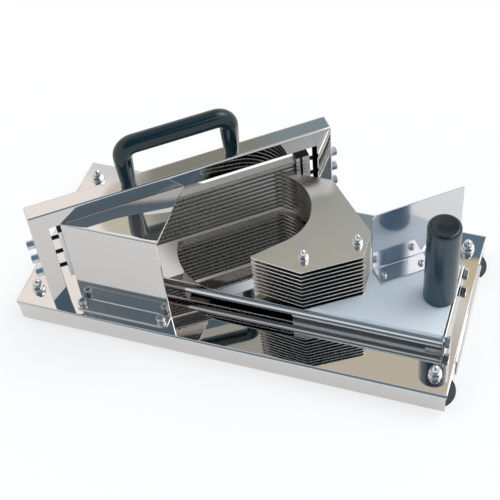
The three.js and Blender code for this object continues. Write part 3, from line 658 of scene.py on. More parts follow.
def satin_steel(name, colour_value, edge_highlight_colour):
    """Stainless plate, belt-ground to a satin face and shear-cut to shape: soft reflections, and a painted
    highlight on its edges.

    Belt grain about 60 mm long and 0.4 mm wide, coarser than the real 0.1 mm so that it shows.
    """
    grain = (60 * MM, 0.4 * MM, 0.4 * MM)
    made = worn_surface(name, colour_value, 1, grain, 2.0, (0.2, 0.26), relief=0.002 * MM, strength=0.2)
    # The ground faces look up or down and the shear-cut edges sideways; the sideways faces take a near-white
    # colour, a painted highlight
    facing = add_node(made.tree, "ShaderNodeSeparateXYZ", links={"Vector": made.where["Normal"]})
    lift = add_node(made.tree, "ShaderNodeMath", links={0: facing.outputs["Z"]}, operation="ABSOLUTE")
    two_tone(made, lift.outputs["Value"], 0.5, 0.95, edge_highlight_colour, colour_value)
    return made.item


def ground_steel(name, colour_value):
    """Hardened strip, surface ground along its length: a tight even sheen, darker than sheet.

    Grinding marks 60 mm long and 3 mm wide, drawn wider than real ones so that they show.
    """
    grain = (60 * MM, 3 * MM, 3 * MM)
    return worn_surface(name, colour_value, 1, grain, 1.0, (0.2, 0.27), turn=-SLANT).item


def faced_bar(name, colour_value, slot_shade_colour, corner, face):
    """Steel bar with a pale milled front face and dark everywhere behind it: the dark is painted shade for
    its slots and sides.

    Cutter marks about 8 mm long and 1.5 mm high.
    """
    grain = (8 * MM, 8 * MM, 1.5 * MM)
    made = worn_surface(name, colour_value, 1, grain, 1.0, (0.4, 0.5))
    # Depth behind the frame's front: the point turned back by the slant, less the corner's depth
    depth = math.cos(SLANT) * corner[1] - math.sin(SLANT) * corner[0]
    values = {"Rotation": (0, 0, -SLANT), "Location": (0, -depth, 0)}
    turned = add_node(made.tree, "ShaderNodeMapping", values, {"Vector": made.where["Object"]})
    parts = add_node(made.tree, "ShaderNodeSeparateXYZ", links={"Vector": turned.outputs["Vector"]})
    # Painted shade: deeper than 0.35 mm behind the face, the bar takes the dark colour
    low, high = face + 0.15 * MM, face + 0.35 * MM
    two_tone(made, parts.outputs["Y"], low, high, colour_value, slot_shade_colour)
    return made.item


def turned_steel(name, colour_value):
    """Steel fastener, turned and tumbled bright or blackened: small sharp highlights, slight smears.

    The smears are about 2.5 mm across.
    """
    return worn_surface(name, colour_value, 1, 2.5 * MM, 2.0, (0.1, 0.24)).item


def milled_polyethylene(name, colour_value):
    """Polyethylene board, planed and milled: milky and softly matt.

    Faint cutter marks run across the board every 1.2 mm.
    """
    grain = (1.2 * MM, 40 * MM, 40 * MM)
    made = worn_surface(name, colour_value, 0, grain, 3.0, (0.38, 0.5), relief=0.02 * MM, strength=0.3)
    made.shader.inputs["IOR"].default_value = 1.51
    made.shader.inputs["Subsurface Weight"].default_value = 0.15
    made.shader.inputs["Subsurface Radius"].default_value = (0.8, 0.9, 1.0)
    made.shader.inputs["Subsurface Scale"].default_value = 3 * MM
    return made.item


def moulded_plastic(name, colour_value, rough, shine, top_shade_colour=None, top=0.0):
    """Plastic moulded in a polished tool: a dark body under clear highlights with a slight ripple.

    The ripple is about 14 mm across. Where a top shade colour is given, the top and the last few millimetres
    below it take that darker colour: painted shade for the dark that the top mirrors.
    """
    made = worn_surface(name, colour_value, 0, 14 * MM, 2.0, rough, relief=0.02 * MM, strength=0.5)
    made.shader.inputs["IOR"].default_value = 1.53
    made.shader.inputs["Specular IOR Level"].default_value = shine
    if top_shade_colour is not None:
        # Painted shade: from 5 mm to 1 mm below the top the colour turns to the darker top colour
        parts = add_node(made.tree, "ShaderNodeSeparateXYZ", links={"Vector": made.where["Object"]})
        low, high = top - 5 * MM, top - 1 * MM
        two_tone(made, parts.outputs["Z"], low, high, colour_value, top_shade_colour)
    return made.item


def moulded_rubber(name, colour_value):
    """Moulded rubber: nearly black and dull, with a dusty grain of 0.8 mm."""
    made = worn_surface(name, colour_value, 0, 0.8 * MM, 3.0, 0.62, relief=0.03 * MM, strength=0.4)
    made.shader.inputs["IOR"].default_value = 1.52
    dust = [1.6 * c for c in colour_value]
    two_tone(made, made.height, 0.0, 1.0, colour_value, dust)
    return made.item


def floor_paint(colour_value):
    """White studio paint, rolled on: plain and matt.

    To the camera and in reflections it is mostly its own white, and the rest takes the shadow.
    """
    made = plain_surface("floor_paint", colour_value, rough=0.7)
    tree = made.tree
    path = add_node(tree, "ShaderNodeLightPath").outputs
    links = {0: path["Is Camera Ray"], 1: path["Is Glossy Ray"]}
    seen = add_node(tree, "ShaderNodeMath", links=links, operation="ADD")
    links = {0: seen.outputs["Value"], 1: path["Is Transmission Ray"]}
    seen = add_node(tree, "ShaderNodeMath", links=links, operation="MAXIMUM")
    share = add_node(tree, "ShaderNodeMath", {1: 0.7}, {0: seen.outputs["Value"]}, operation="MULTIPLY")
    white = add_node(tree, "ShaderNodeEmission", {"Strength": 1.0})
    links = {0: share.outputs["Value"], 1: made.shader.outputs["BSDF"], 2: white.outputs["Emission"]}
    both = add_node(tree, "ShaderNodeMixShader", links=links)
    tree.links.new(both.outputs["Shader"], tree.nodes["Material Output"].inputs["Surface"])
    return made.item


def finishes(context):
    """The slicer's materials, made once and found by name after that."""
    scene = context.scene
    tone, grip = scene.slicer_finish, scene.slicer_grip
    grip_top = DECK[2] + grip.middle[2] + grip.height
    corner = DECK + np.array(scene.slicer_frame.corner)
    comb_face = scene.slicer_frame.comb_face
    makers = {
        "stainless_mirror_polished": (mirror_steel, tone.steel),
        "stainless_mirror_filmed": (mirror_steel, tone.steel, 0.07),
        # The hand guard's bluish diffuse is painted reflection
        "stainless_sheet_buffed": (buffed_steel, tone.buffed, tone.film),
        # The satin plates' near-white edges are a painted highlight
        "stainless_satin_ground": (satin_steel, tone.satin, tone.painted_edge_highlight),
        "blade_strip_surface_ground": (ground_steel, tone.blade),
        # The comb holders' dark slots and sides are painted shade
        "steel_black_oxide_milled": (faced_bar, tone.comb, tone.oxide, corner, comb_face),
        "stainless_turned_bright": (turned_steel, tone.fastener),
        "steel_black_oxide_turned": (turned_steel, tone.oxide),
        "polyethylene_milled": (milled_polyethylene, tone.board),
        "plastic_moulded_gloss": (moulded_plastic, tone.handle, (0.06, 0.1), 0.4),
        # The grip's darker top is painted shade
        "plastic_moulded_slate": (moulded_plastic, tone.grip, (0.14, 0.2), 0.47, tone.grip_top_painted_shade, grip_top),
        "rubber_moulded": (moulded_rubber, tone.rubber),
    }
    return {
        name: bpy.data.materials.get(name) or make(name, *values)
        for name, (make, *values) in makers.items()
    }


# Surfaces of the pieces

def tray_sheet(tray):
    """The tray's outer face: a channel section carried along x, with a folded tab on each end.

    Its corners take the ends in by their rounding, once in plan and once at the skirt's foot.
    """
    w, low, bend = tray.width, -tray.depth, tray.bend
    curve = low + tray.left_corner * (1 - np.cos(np.radians(np.linspace(10, 90, 7))))
    curve = np.column_stack([np.zeros(7), curve])
    section = np.concatenate([
        [(0, low)], curve, [(0, -bend - SUPPORT)],
        arc((bend, -bend), bend, 180, 90, 16),
        [(tray.tab_from - SUPPORT, 0), (tray.tab_from, 0), (tray.tab_to, 0), (tray.tab_to + SUPPORT, 0)],
        arc((w - bend, -bend), bend, 90, 0, 16),
        [(w, -bend - SUPPORT)], curve[::-1] + [w, 0], [(w, low)],
    ])
    near = np.minimum(section[:, 0], w - section[:, 0])
    rise = section[:, 1] - low
    first = rounding(tray.left_corner, near) + rounding(tray.left_corner, rise)
    last = tray.length - rounding(tray.right_corner, near) - rounding(tray.right_corner, rise)
    inset = tray.tab_bend - TAB_OUT
    along = stations(inset, tray.length - inset)
    parts = [carried(np.clip(along[:, None], first, last), section, flip=True)]
    front = section[:, 0] < tray.tab_from - SUPPORT / 2
    back = section[:, 0] > tray.tab_to + SUPPORT / 2
    across = np.array([tray.tab_from, tray.tab_to])
    for end, side in ((tray.length, 1), (0.0, -1)):
        edge = np.array([end - side * inset, end])
        for chosen in (front, back):
            x = np.clip(edge[:, None], first[chosen], last[chosen])
            parts.append(carried(x, section[chosen], flip=side > 0))
        out = end + side * TAB_OUT
        fold = np.concatenate([
            arc((out - side * tray.tab_bend, -tray.tab_bend), tray.tab_bend, 90, 90 - side * 90, 8),
            run((out, -tray.tab_bend), (out, low)),
        ])
        x, y = np.meshgrid(fold[:, 0], across, indexing="ij")
        z = np.broadcast_to(fold[:, 1][:, None], x.shape)
        parts.append(grid(np.stack([x, y, z], axis=-1), flip=side > 0))
    return joined(parts)


def frame_sheet(size):
    """The frame's outer face: an upside-down channel carried along the front, less the window.

    Towards its ends the section moves inward by its rounding, and a plate closes each end.
    """
    d, h, bend = size.depth, size.height, size.bend
    section = np.concatenate([
        run((0, GAP), (0, size.window)),
        run((0, size.window), (0, h - bend)),
        arc((bend, h - bend), bend, 180, 90, 8),
        run((bend, h), (d - bend, h)),
        arc((d - bend, h - bend), bend, 90, 0, 8),
        run((d, h - bend), (d, size.window)),
        run((d, size.window), (d, GAP)),
    ])
    # Inward for each point of the section: back, turning down, down, turning forward, forward
    back, down, forward = np.array([[1.0, 0.0], [0.0, -1.0], [-1.0, 0.0]])
    turn = np.radians(np.linspace(0, 90, 9))[:, None]
    inward = np.concatenate([
        np.tile(back, (8, 1)), np.cos(turn) * back + np.sin(turn) * down,
        np.tile(down, (4, 1)), np.cos(turn) * down + np.sin(turn) * forward,
        np.tile(forward, (8, 1)),
    ])
    right = size.length - size.right_leg
    curve = size.end_bend * (1 - np.cos(np.radians(np.linspace(0, 90, 9))))
    along = stations(0, size.leg, right, size.length)
    along = np.unique(np.round(np.concatenate([along, curve, size.length - curve]), 7))
    inset = rounding(size.end_bend, np.minimum(along, size.length - along))
    x = np.broadcast_to(along[:, None], (len(along), len(section)))
    y = section[:, 0] + inset[:, None] * inward[:, 0]
    z = section[:, 1] + inset[:, None] * inward[:, 1]
    middle_x = (along[1:] + along[:-1]) / 2
    middle_z = (section[1:, 1] + section[:-1, 1]) / 2
    open_x = (middle_x > size.leg) & (middle_x < right)
    keep = ~(open_x[:, None] & (middle_z < size.window)[None, :])
    parts = [grid(np.stack([x, y, z], axis=-1), keep=keep, flip=True)]
    for end, order in ((0.0, 1), (size.length, -1)):
        wall = np.column_stack([np.full(len(section), end), section + size.end_bend * inward])
        parts.append((wall, [list(range(len(section)))[::order]]))
    return joined(parts)


def front_guard_sheet(size, frame_size):
    """The guard's outer face: flange, face and roof carried along x; the roof stops at the frame."""
    face, top = size.front, size.height
    flat = GAP + size.sheet
    inner = 1.0 * MM
    curve = np.linspace(0, size.corner, 9)
    xs = stations(size.left, size.left + size.corner, size.right - size.corner, size.right)
    xs = np.unique(np.round(np.concatenate([xs, size.left + curve, size.right - curve]), 7))
    # The frame's front, less a gap of 0.4 mm square to it
    line = frame_size.corner[1] + (xs - frame_size.corner[0]) * math.tan(SLANT)
    line = line - 0.4 * MM / math.cos(SLANT)
    flange_front = size.flange + rounding(size.corner, np.minimum(xs - size.left, size.right - xs))
    share = np.array([0, 0.04, 0.5, 0.96, 1.0])[:, None]
    flange_y = flange_front + share * (face - inner - flange_front)
    bends = np.concatenate([
        arc((face - inner, flat + inner), inner, -90, 0, 6),
        run((face, flat + inner), (face, top - size.bend)),
        arc((face + size.bend, top - size.bend), size.bend, 180, 90, 8),
    ])
    start = face + size.bend
    roof_y = start + np.array([0.04, 0.5, 1.0])[:, None] * np.maximum(line - start, 0)
    y = np.concatenate([
        flange_y, np.minimum(bends[:, :1], line), np.minimum(roof_y, line),
    ])
    z = np.concatenate([np.full(len(flange_y), flat), bends[:, 1], np.full(len(roof_y), top)])
    x = np.broadcast_to(xs, y.shape)
    return grid(np.stack([x, y, np.broadcast_to(z[:, None], y.shape)], axis=-1))


def hand_guard_sheet(size):
    """The guard's near face: flange and upright carried along the fold.

    The upright's near end is cut at its top corner and tapers a little at its foot, and the
    flange's near corner is rounded.
    """
    sheet, top, inner = size.sheet, size.height, 1.0 * MM
    section = np.concatenate([
        run((-size.flange, sheet), (-inner, sheet)),
        arc((-inner, sheet + inner), inner, -90, 0, 6),
        run((0, sheet + inner), (0, size.chamfer)),
        run((0, size.chamfer), (0, top - size.chamfer)),
        run((0, top - size.chamfer), (0, top)),
    ])
    out, up = section[:, 0], section[:, 1]
    on_flange = out < -1e-6
    near_end, flange_back, taper, corner = -3 * MM, 1 * MM, 0.4, 2.0 * MM
    cut = np.maximum(0, up - (top - size.chamfer))
    foot = np.where(on_flange, flange_back, np.maximum(0, size.chamfer - up) * taper)
    start = near_end + cut + foot + np.where(on_flange, rounding(corner, out + size.flange), 0)
    columns = stations(0, size.flange_to, size.reach)
    stretch = np.minimum(columns / size.flange_to, 1)
    along = start[:, None] + stretch * (size.flange_to - start[:, None])
    along = along + np.maximum(columns - size.flange_to, 0)
    out_all, up_all = (np.broadcast_to(part[:, None], along.shape) for part in (out, up))
    middle = (columns[1:] + columns[:-1]) / 2
    flange_cell = (out[1:] + out[:-1]) / 2 < -1e-6
    keep = ~(flange_cell[:, None] & (middle > size.flange_to)[None, :])
    return grid(np.stack([along, out_all, up_all], axis=-1), keep=keep)


def bracket_sheet(size):
    """The bracket's outer face, its upright on x = 0: foot, fold and upright carried across.

    The doubled rows at the shoulder are merged, and set the order of points in which the edges are eased.
    """
    bend = size.sheet + 1 * MM
    shoulder = size.tall - size.corner
    crown = shoulder + size.corner * np.sin(np.linspace(0, np.pi / 2, 9)[1:])
    section = np.concatenate([
        run((size.foot, GAP), (bend, GAP)),
        arc((bend, GAP + bend), bend, 270, 180, 8),
        run((0, GAP + bend), (0, shoulder)),
        np.array([(0, shoulder)] * 2),
        np.column_stack([np.zeros(8), crown]),
    ])
    inset = rounding(size.corner, size.tall - section[:, 1])
    front = size.front - size.margin + inset
    back = size.back + size.margin - inset
    y = front[:, None] + np.array([0, 0.01, 0.5, 0.99, 1]) * (back - front)[:, None]
    x, z = (np.broadcast_to(part[:, None], y.shape) for part in (section[:, 0], section[:, 1]))
    return grid(np.stack([x, y, z], axis=-1), flip=True)


def handle_skin(size):
    """A ring carried up one leg, round two quarter bends and down the other leg.

    Its radius grows from foot to bar by 1 - (1 - share of the leg) ^ 1.6.
    """
    half, height, bend = size.span / 2, size.height, size.bend
    left = np.concatenate([
        np.column_stack([np.full(14, -half), np.linspace(0, height - bend, 14)]),
        arc((-half + bend, height - bend), bend, 180, 90, 20)[1:],
        np.column_stack([np.linspace(-half + bend, 0, 8)[1:], np.full(7, height)]),
    ])
    path = np.concatenate([left, (left * [-1, 1])[::-1][1:]])
    ahead = np.gradient(path, axis=0)
    ahead /= np.linalg.norm(ahead, axis=1)[:, None]
    travel = np.concatenate([[0], np.cumsum(np.linalg.norm(np.diff(path, axis=0), axis=1))])
    travel = np.minimum(travel, travel[-1] - travel)
    share = np.clip(travel / (height - bend), 0, 1)
    radius = size.foot_radius + (size.radius - size.foot_radius) * (1 - (1 - share) ** 1.6)
    radius = radius[:, None]
    sides = 48
    angles = np.arange(sides) * 2 * np.pi / sides
    side = np.column_stack([-ahead[:, 1], ahead[:, 0]])
    x = path[:, :1] + radius * np.cos(angles) * side[:, :1]
    z = path[:, 1:] + radius * np.cos(angles) * side[:, 1:]
    skin = np.stack([x, radius * np.sin(angles), z], axis=-1)
    first = np.broadcast_to([path[0, 0], 0, path[0, 1]], (1, sides, 3))
    last = np.broadcast_to([path[-1, 0], 0, path[-1, 1]], (1, sides, 3))
    return grid(np.concatenate([first, skin, last]), closed=True)


def plate_outline(stack):
    """The pusher plate's outline: six outer corners and one large hollow."""
    corners = [(232, 51), (283.5, 45), (333.3, 77), (333, 107.5), (281.5, 162.5), (217, 162.5)]
    corners = np.array(corners) * MM
    hollow = np.array([[stack.notch[0], stack.notch[1]]])
    radii = np.array([1.4, 2, 2, 2, 2, 0.7]) * MM
    return rounded_outline(np.concatenate([corners, hollow]), [*radii, stack.notch_radius])


def bed_outline():
    """The bed plate's outline: its left end is nearly a half circle."""
    corners = [(138.5, 46.5), (283.5, 45), (333.3, 77), (333, 107.5), (275, 169.5), (138.5, 169.5)]
    return rounded_outline(np.array(corners) * MM, np.array([61, 2, 2, 2, 2, 61]) * MM)


# Operators, one for each piece or group of like pieces

class BuildTray(bpy.types.Operator):
    """Folds the base tray from one sheet"""
    bl_idname = "slicer.build_tray"
    bl_label = "Base tray"

    def execute(self, context):
        tray = context.scene.slicer_tray
        steel = finishes(context)["stainless_mirror_polished"]
        add_piece(
            "deck_tray", tray_sheet(tray), "base", steel, ["base_tray"],
            sheet=tray.sheet, ease=0.25 * MM, closed=False)
        return {"FINISHED"}


class BuildFeet(bpy.types.Operator):
    """Moulds the four suction feet and adds their cap nuts"""
    bl_idname = "slicer.build_feet"
    bl_label = "Feet and cap nuts"

    def execute(self, context):
        feet, tray = context.scene.slicer_feet, context.scene.slicer_tray
        look = finishes(context)
        floor, rim, neck = -feet.floor, feet.rim, feet.neck
        under = -tray.sheet - GAP
        # Radius and height of the cup's hollow, its rim, the flare above it and the neck
        foot = rings([
            (0, floor + 2.8 * MM), (8 * MM, floor + 2.2 * MM), (rim - 2.5 * MM, floor + 0.1 * MM),
            (rim - 0.6 * MM, floor), (rim, floor + 0.5 * MM), (rim, floor + 1.4 * MM),
            (rim - 0.5 * MM, floor + 1.9 * MM), (13.4 * MM, floor + 3.1 * MM),
            (11.0 * MM, floor + 5.4 * MM), (9.2 * MM, floor + 9.0 * MM), (8.1 * MM, floor + 12.6 * MM),
            (neck, floor + 14.5 * MM), (neck, under - 0.35 * MM), (neck - 0.3 * MM, under), (0, under),
        ])
        nut = cap_nut(
            washer=6.5 * MM, washer_height=1.6 * MM, across_flats=10.4 * MM, hex_height=5 * MM,
            dome=4.7 * MM, dome_height=6.8 * MM)
        for end, x in (("left", feet.left), ("right", feet.right)):
            for row, y in (("front", feet.front), ("back", feet.back)):
                spot, at = f"{row}_{end}", (x, y, 0)
                add_piece(
                    f"suction_foot_{spot}", moved(foot, at), "base",
                    look["rubber_moulded"], [f"foot_{spot}"])
                add_piece(
                    f"cap_nut_{spot}", moved(nut, at, NUT_TURN), "base",
                    look["stainless_turned_bright"], [f"foot_nut_{spot}"])
        return {"FINISHED"}


class BuildBladeFrame(bpy.types.Operator):
    """Folds the slanted blade frame and adds its tension screws"""
    bl_idname = "slicer.build_blade_frame"
    bl_label = "Blade frame"

    def execute(self, context):
        size = context.scene.slicer_frame
        look = finishes(context)
        steel = look["stainless_mirror_polished"]
        at = np.array(size.corner)
        add_piece(
            "blade_frame_shell", moved(frame_sheet(size), at, SLANT), "base",
            steel, ["blade_frame"], sheet=size.sheet, ease=0.25 * MM, closed=False)
        low, high = size.sheet + GAP, size.depth - size.sheet - GAP
        soles = []
        for start, stop in ((low, size.sole), (size.length - size.sole, size.length - low)):
            outline = np.array([(start, low), (stop, low), (stop, high), (start, high)])
            soles.append(slab(outline, 2 * GAP, size.sheet))
        add_piece(
            "blade_frame_soles", moved(joined(soles), at, SLANT), "base",
            steel, sharp=30)
        head = cap_nut(
            washer=4.8 * MM, washer_height=0.8 * MM, across_flats=8 * MM, hex_height=6.2 * MM,
            dome=3.6 * MM, dome_height=0.4 * MM)
        into_comb = 3 * MM
        ends = (
            ("left", "-x", 0.0, size.left_comb),
            ("right", "x", size.length, size.length - size.right_comb),
        )
        shanks = []
        for side, axis, end, reach in ends:
            shank = screw_shank(2 * MM, reach + into_comb)
            for i in range(3):
                spot = (end, size.depth / 2, size.first_screw + i * size.screw_step)
                own = moved(moved(head, spot, axis=axis), at, SLANT)
                add_piece(
                    f"tension_nut_{side}_{i + 1}", own, "base",
                    look["stainless_turned_bright"], [f"tension_screw_{side}_{i + 1}"])
                shanks.append(moved(moved(shank, spot, axis=axis), at, SLANT))
        add_piece(
            "tension_shanks", joined(shanks), "base",
            look["steel_black_oxide_turned"])
        for side in ("left", "right"):
            dress_node(f"blade_holder_{side}", look["steel_black_oxide_milled"])
        blades = context.scene.slicer_stack.count + 1
        for i in range(1, blades + 1):
            dress_node(f"blade_{i:02d}", look["blade_strip_surface_ground"])
        return {"FINISHED"}


class BuildHandle(bpy.types.Operator):
    """Moulds the carrying handle on top of the blade frame"""
    bl_idname = "slicer.build_handle"
    bl_label = "Carrying handle"

    def execute(self, context):
        size, base = context.scene.slicer_handle, context.scene.slicer_frame
        middle = (size.first_leg + size.span / 2, base.depth / 2, base.height + GAP)
        skin = moved(moved(handle_skin(size), middle), np.array(base.corner), SLANT)
        look = finishes(context)["plastic_moulded_gloss"]
        add_piece("carrying_handle", skin, "base", look, ["top_handle"])
        return {"FINISHED"}


class BuildFrontGuard(bpy.types.Operator):
    """Folds the front guard and adds its two socket screws"""
    bl_idname = "slicer.build_front_guard"
    bl_label = "Front guard"

    def execute(self, context):
        size = context.scene.slicer_front_guard
        look = finishes(context)
        sheet = front_guard_sheet(size, context.scene.slicer_frame)
        add_piece(
            "front_guard_sheet", sheet, "base", look["stainless_mirror_filmed"],
            ["front_guard"], sheet=size.sheet, ease=0.2 * MM, closed=False)
        screw = socket_screw(
            radius=2.5 * MM, head=4.5 * MM, head_height=5 * MM, chamfer=0.6 * MM,
            socket=4 * MM, socket_depth=2.6 * MM, reach=8 * MM)
        for side, x in (("left", size.screw_left), ("right", size.screw_right)):
            at = (x, size.screw_line, size.sheet + 2 * GAP)
            add_piece(
                f"guard_cap_screw_{side}", moved(screw, at, SCREW_TURN), "base",
                look["stainless_turned_bright"], [f"guard_screw_{side}"])
        return {"FINISHED"}


class BuildRails(bpy.types.Operator):
    """Adds the two rods, their brackets and the bolts in their ends"""
    bl_idname = "slicer.build_rails"
    bl_label = "Rods and brackets"

    def execute(self, context):
        size = context.scene.slicer_rails
        look = finishes(context)
        steel, bright = look["stainless_mirror_polished"], look["stainless_turned_bright"]
        left, right = size.start - size.sheet, size.stop + size.sheet
        sheet = bracket_sheet(size)
        brackets = {
            "left": moved(sheet, (left, 0, 0)),
            "right": moved(sheet, (right, size.front + size.back, 0), math.pi),
        }
        for side, own in brackets.items():
            add_piece(
                f"rail_bracket_{side}", own, "base", steel,
                [f"rod_bracket_{side}"], sheet=size.sheet, ease=0.3 * MM, closed=False)
        r, span = size.radius, size.stop - size.start - 2 * GAP
        chamfer, beside = 0.5 * MM, 1.5 * MM
        bar = rings([
            (0, 0), (r - chamfer, 0), (r, chamfer), (r, beside),
            (r, span - beside), (r, span - chamfer), (r - chamfer, span), (0, span),
        ], 64)
        bolt = joined([hex_head(10 * MM, GAP, 4.6 * MM), screw_shank(3 * MM, 12 * MM)])
        for row, y in (("front", size.front), ("back", size.back)):
            own = moved(bar, (size.start + GAP, y, size.height), axis="x")
            add_piece(f"slide_rod_{row}", own, "base", steel, [f"rod_{row}"])
            for side, x, axis in (("left", left, "-x"), ("right", right, "x")):
                own = moved(bolt, (x, y, size.height), axis=axis)
                add_piece(
                    f"rail_bolt_{side}_{row}", own, "base", bright,
                    [f"rod_bolt_{side}_{row}"])
        return {"FINISHED"}


class BuildBoard(bpy.types.Operator):
    """Eases the edges of the slide board"""
    bl_idname = "slicer.build_board"
    bl_label = "Slide board"

    def execute(self, context):
        look = finishes(context)
        work = merged(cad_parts["slide_board"].data)
        flat = math.radians(0.5)
        bmesh.ops.dissolve_limit(work, angle_limit=flat, verts=work.verts, edges=work.edges)
        copy = bpy.data.meshes.new("slide_board_copy")
        work.to_mesh(copy)
        work.free()
        points = np.empty(len(copy.vertices) * 3)
        copy.vertices.foreach_get("co", points)
        faces = [list(face.vertices) for face in copy.polygons]
        bpy.data.meshes.remove(copy)
        add_piece(
            "slide_board_eased", (points.reshape(-1, 3) - DECK, faces), "carriage",
            look["polyethylene_milled"], ["slide_board"],
            ease=context.scene.slicer_board.ease, crisp=12)
        dress_node("grip_screw", look["stainless_turned_bright"])
        return {"FINISHED"}


class BuildStack(bpy.types.Operator):
    """Cuts the bed plate and the stack of pusher plates and bolts them together"""
    bl_idname = "slicer.build_stack"
    bl_label = "Pusher plates"

    def execute(self, context):
        stack = context.scene.slicer_stack
        look = finishes(context)
        bed_top = stack.front_bolt[2]
        bed = slab(bed_outline(), bed_top - stack.sheet + GAP, bed_top)
        add_piece(
            "bed_sheet", bed, "carriage", look["stainless_mirror_polished"],
            ["bed_plate"], ease=0.2 * MM, crisp=12)
        outline = plate_outline(stack)
        # A bolt's head in the board's counterbore, its shank, and a spacer below each plate
        radius, head, low = 3 * MM, 6 * MM, 4 * MM + GAP
        rows = [(0, low), (head, low), (head, low + 3.1 * MM), (radius, low + 3.1 * MM)]
        for i in range(1, stack.count + 1):
            top = bed_top + i * stack.pitch
            plate = slab(outline, top - stack.sheet, top)
            add_piece(
                f"stack_plate_{i:02d}", plate, "carriage",
                look["stainless_satin_ground"], [f"pusher_plate_{i:02d}"], ease=0.15 * MM, crisp=12)
            below, above = top - stack.pitch + GAP, top - stack.sheet - GAP
            rows += [(radius, below), (stack.spacer, below), (stack.spacer, above), (radius, above)]
        rows += [(radius, top + 2 * GAP), (0, top + 2 * GAP)]
        nut = cap_nut(
            washer=5 * MM, washer_height=1 * MM, across_flats=8 * MM, hex_height=4 * MM,
            dome=3.7 * MM, dome_height=6 * MM, bottom=top + GAP)
        bolt = joined([rings(rows, 40), nut])
        for row, spot in (("front", stack.front_bolt), ("back", stack.back_bolt)):
            own = moved(bolt, (spot[0], spot[1], 0), SCREW_TURN)
            add_piece(
                f"stack_through_bolt_{row}", own, "carriage",
                look["stainless_turned_bright"], [f"stack_bolt_{row}"])
        return {"FINISHED"}


class BuildHandGuard(bpy.types.Operator):
    """Folds the hand guard and adds its two screws"""
    bl_idname = "slicer.build_hand_guard"
    bl_label = "Hand guard"

    def execute(self, context):
        size = context.scene.slicer_hand_guard
        look = finishes(context)
        at = np.array(size.corner)
        add_piece(
            "hand_guard_sheet", moved(hand_guard_sheet(size), at, SLANT), "carriage",
            look["stainless_sheet_buffed"], ["hand_guard"],
            sheet=size.sheet, ease=0.2 * MM, closed=False)
        screw = socket_screw(
            radius=2 * MM, head=3 * MM, head_height=2.6 * MM, chamfer=0.8 * MM,
            socket=2.5 * MM, socket_depth=1.6 * MM, reach=12 * MM)
        for side, along in (("left", size.first_screw), ("right", size.second_screw)):
            own = moved(screw, (along, -size.screw_line, size.sheet + GAP))
            add_piece(
                f"guard_button_screw_{side}", moved(own, at, SLANT), "carriage",
                look["stainless_turned_bright"], [f"hand_guard_screw_{side}"])
        return {"FINISHED"}


class BuildGrip(bpy.types.Operator):
    """Moulds the upright grip"""
    bl_idname = "slicer.build_grip"
    bl_label = "Grip"

    def execute(self, context):
        size = context.scene.slicer_grip
        r, top, rim = size.radius, size.height, size.rim
        # Radius and height of the foot's edge, the side, the rounded rim and the dished end
        rows = [(0, 0), (r - 1 * MM, 0), (r - 0.3 * MM, 0.3 * MM), (r, 1 * MM), (r, 2 * MM)]
        rows += [(r, top - rim - 1 * MM)]
        rows += arc((r - rim, top - rim), rim, 0, 90, 9).tolist()
        rows += [(r - rim - 0.6 * MM, top), (r - rim - 1.2 * MM, top - 0.1 * MM)]
        rows += [(5 * MM, top - 0.5 * MM), (0, top - 0.55 * MM)]
        add_piece(
            "upright_grip", moved(rings(rows, 96), np.array(size.middle)), "carriage",
            finishes(context)["plastic_moulded_slate"], ["grip"], sharp=60)
        return {"FINISHED"}


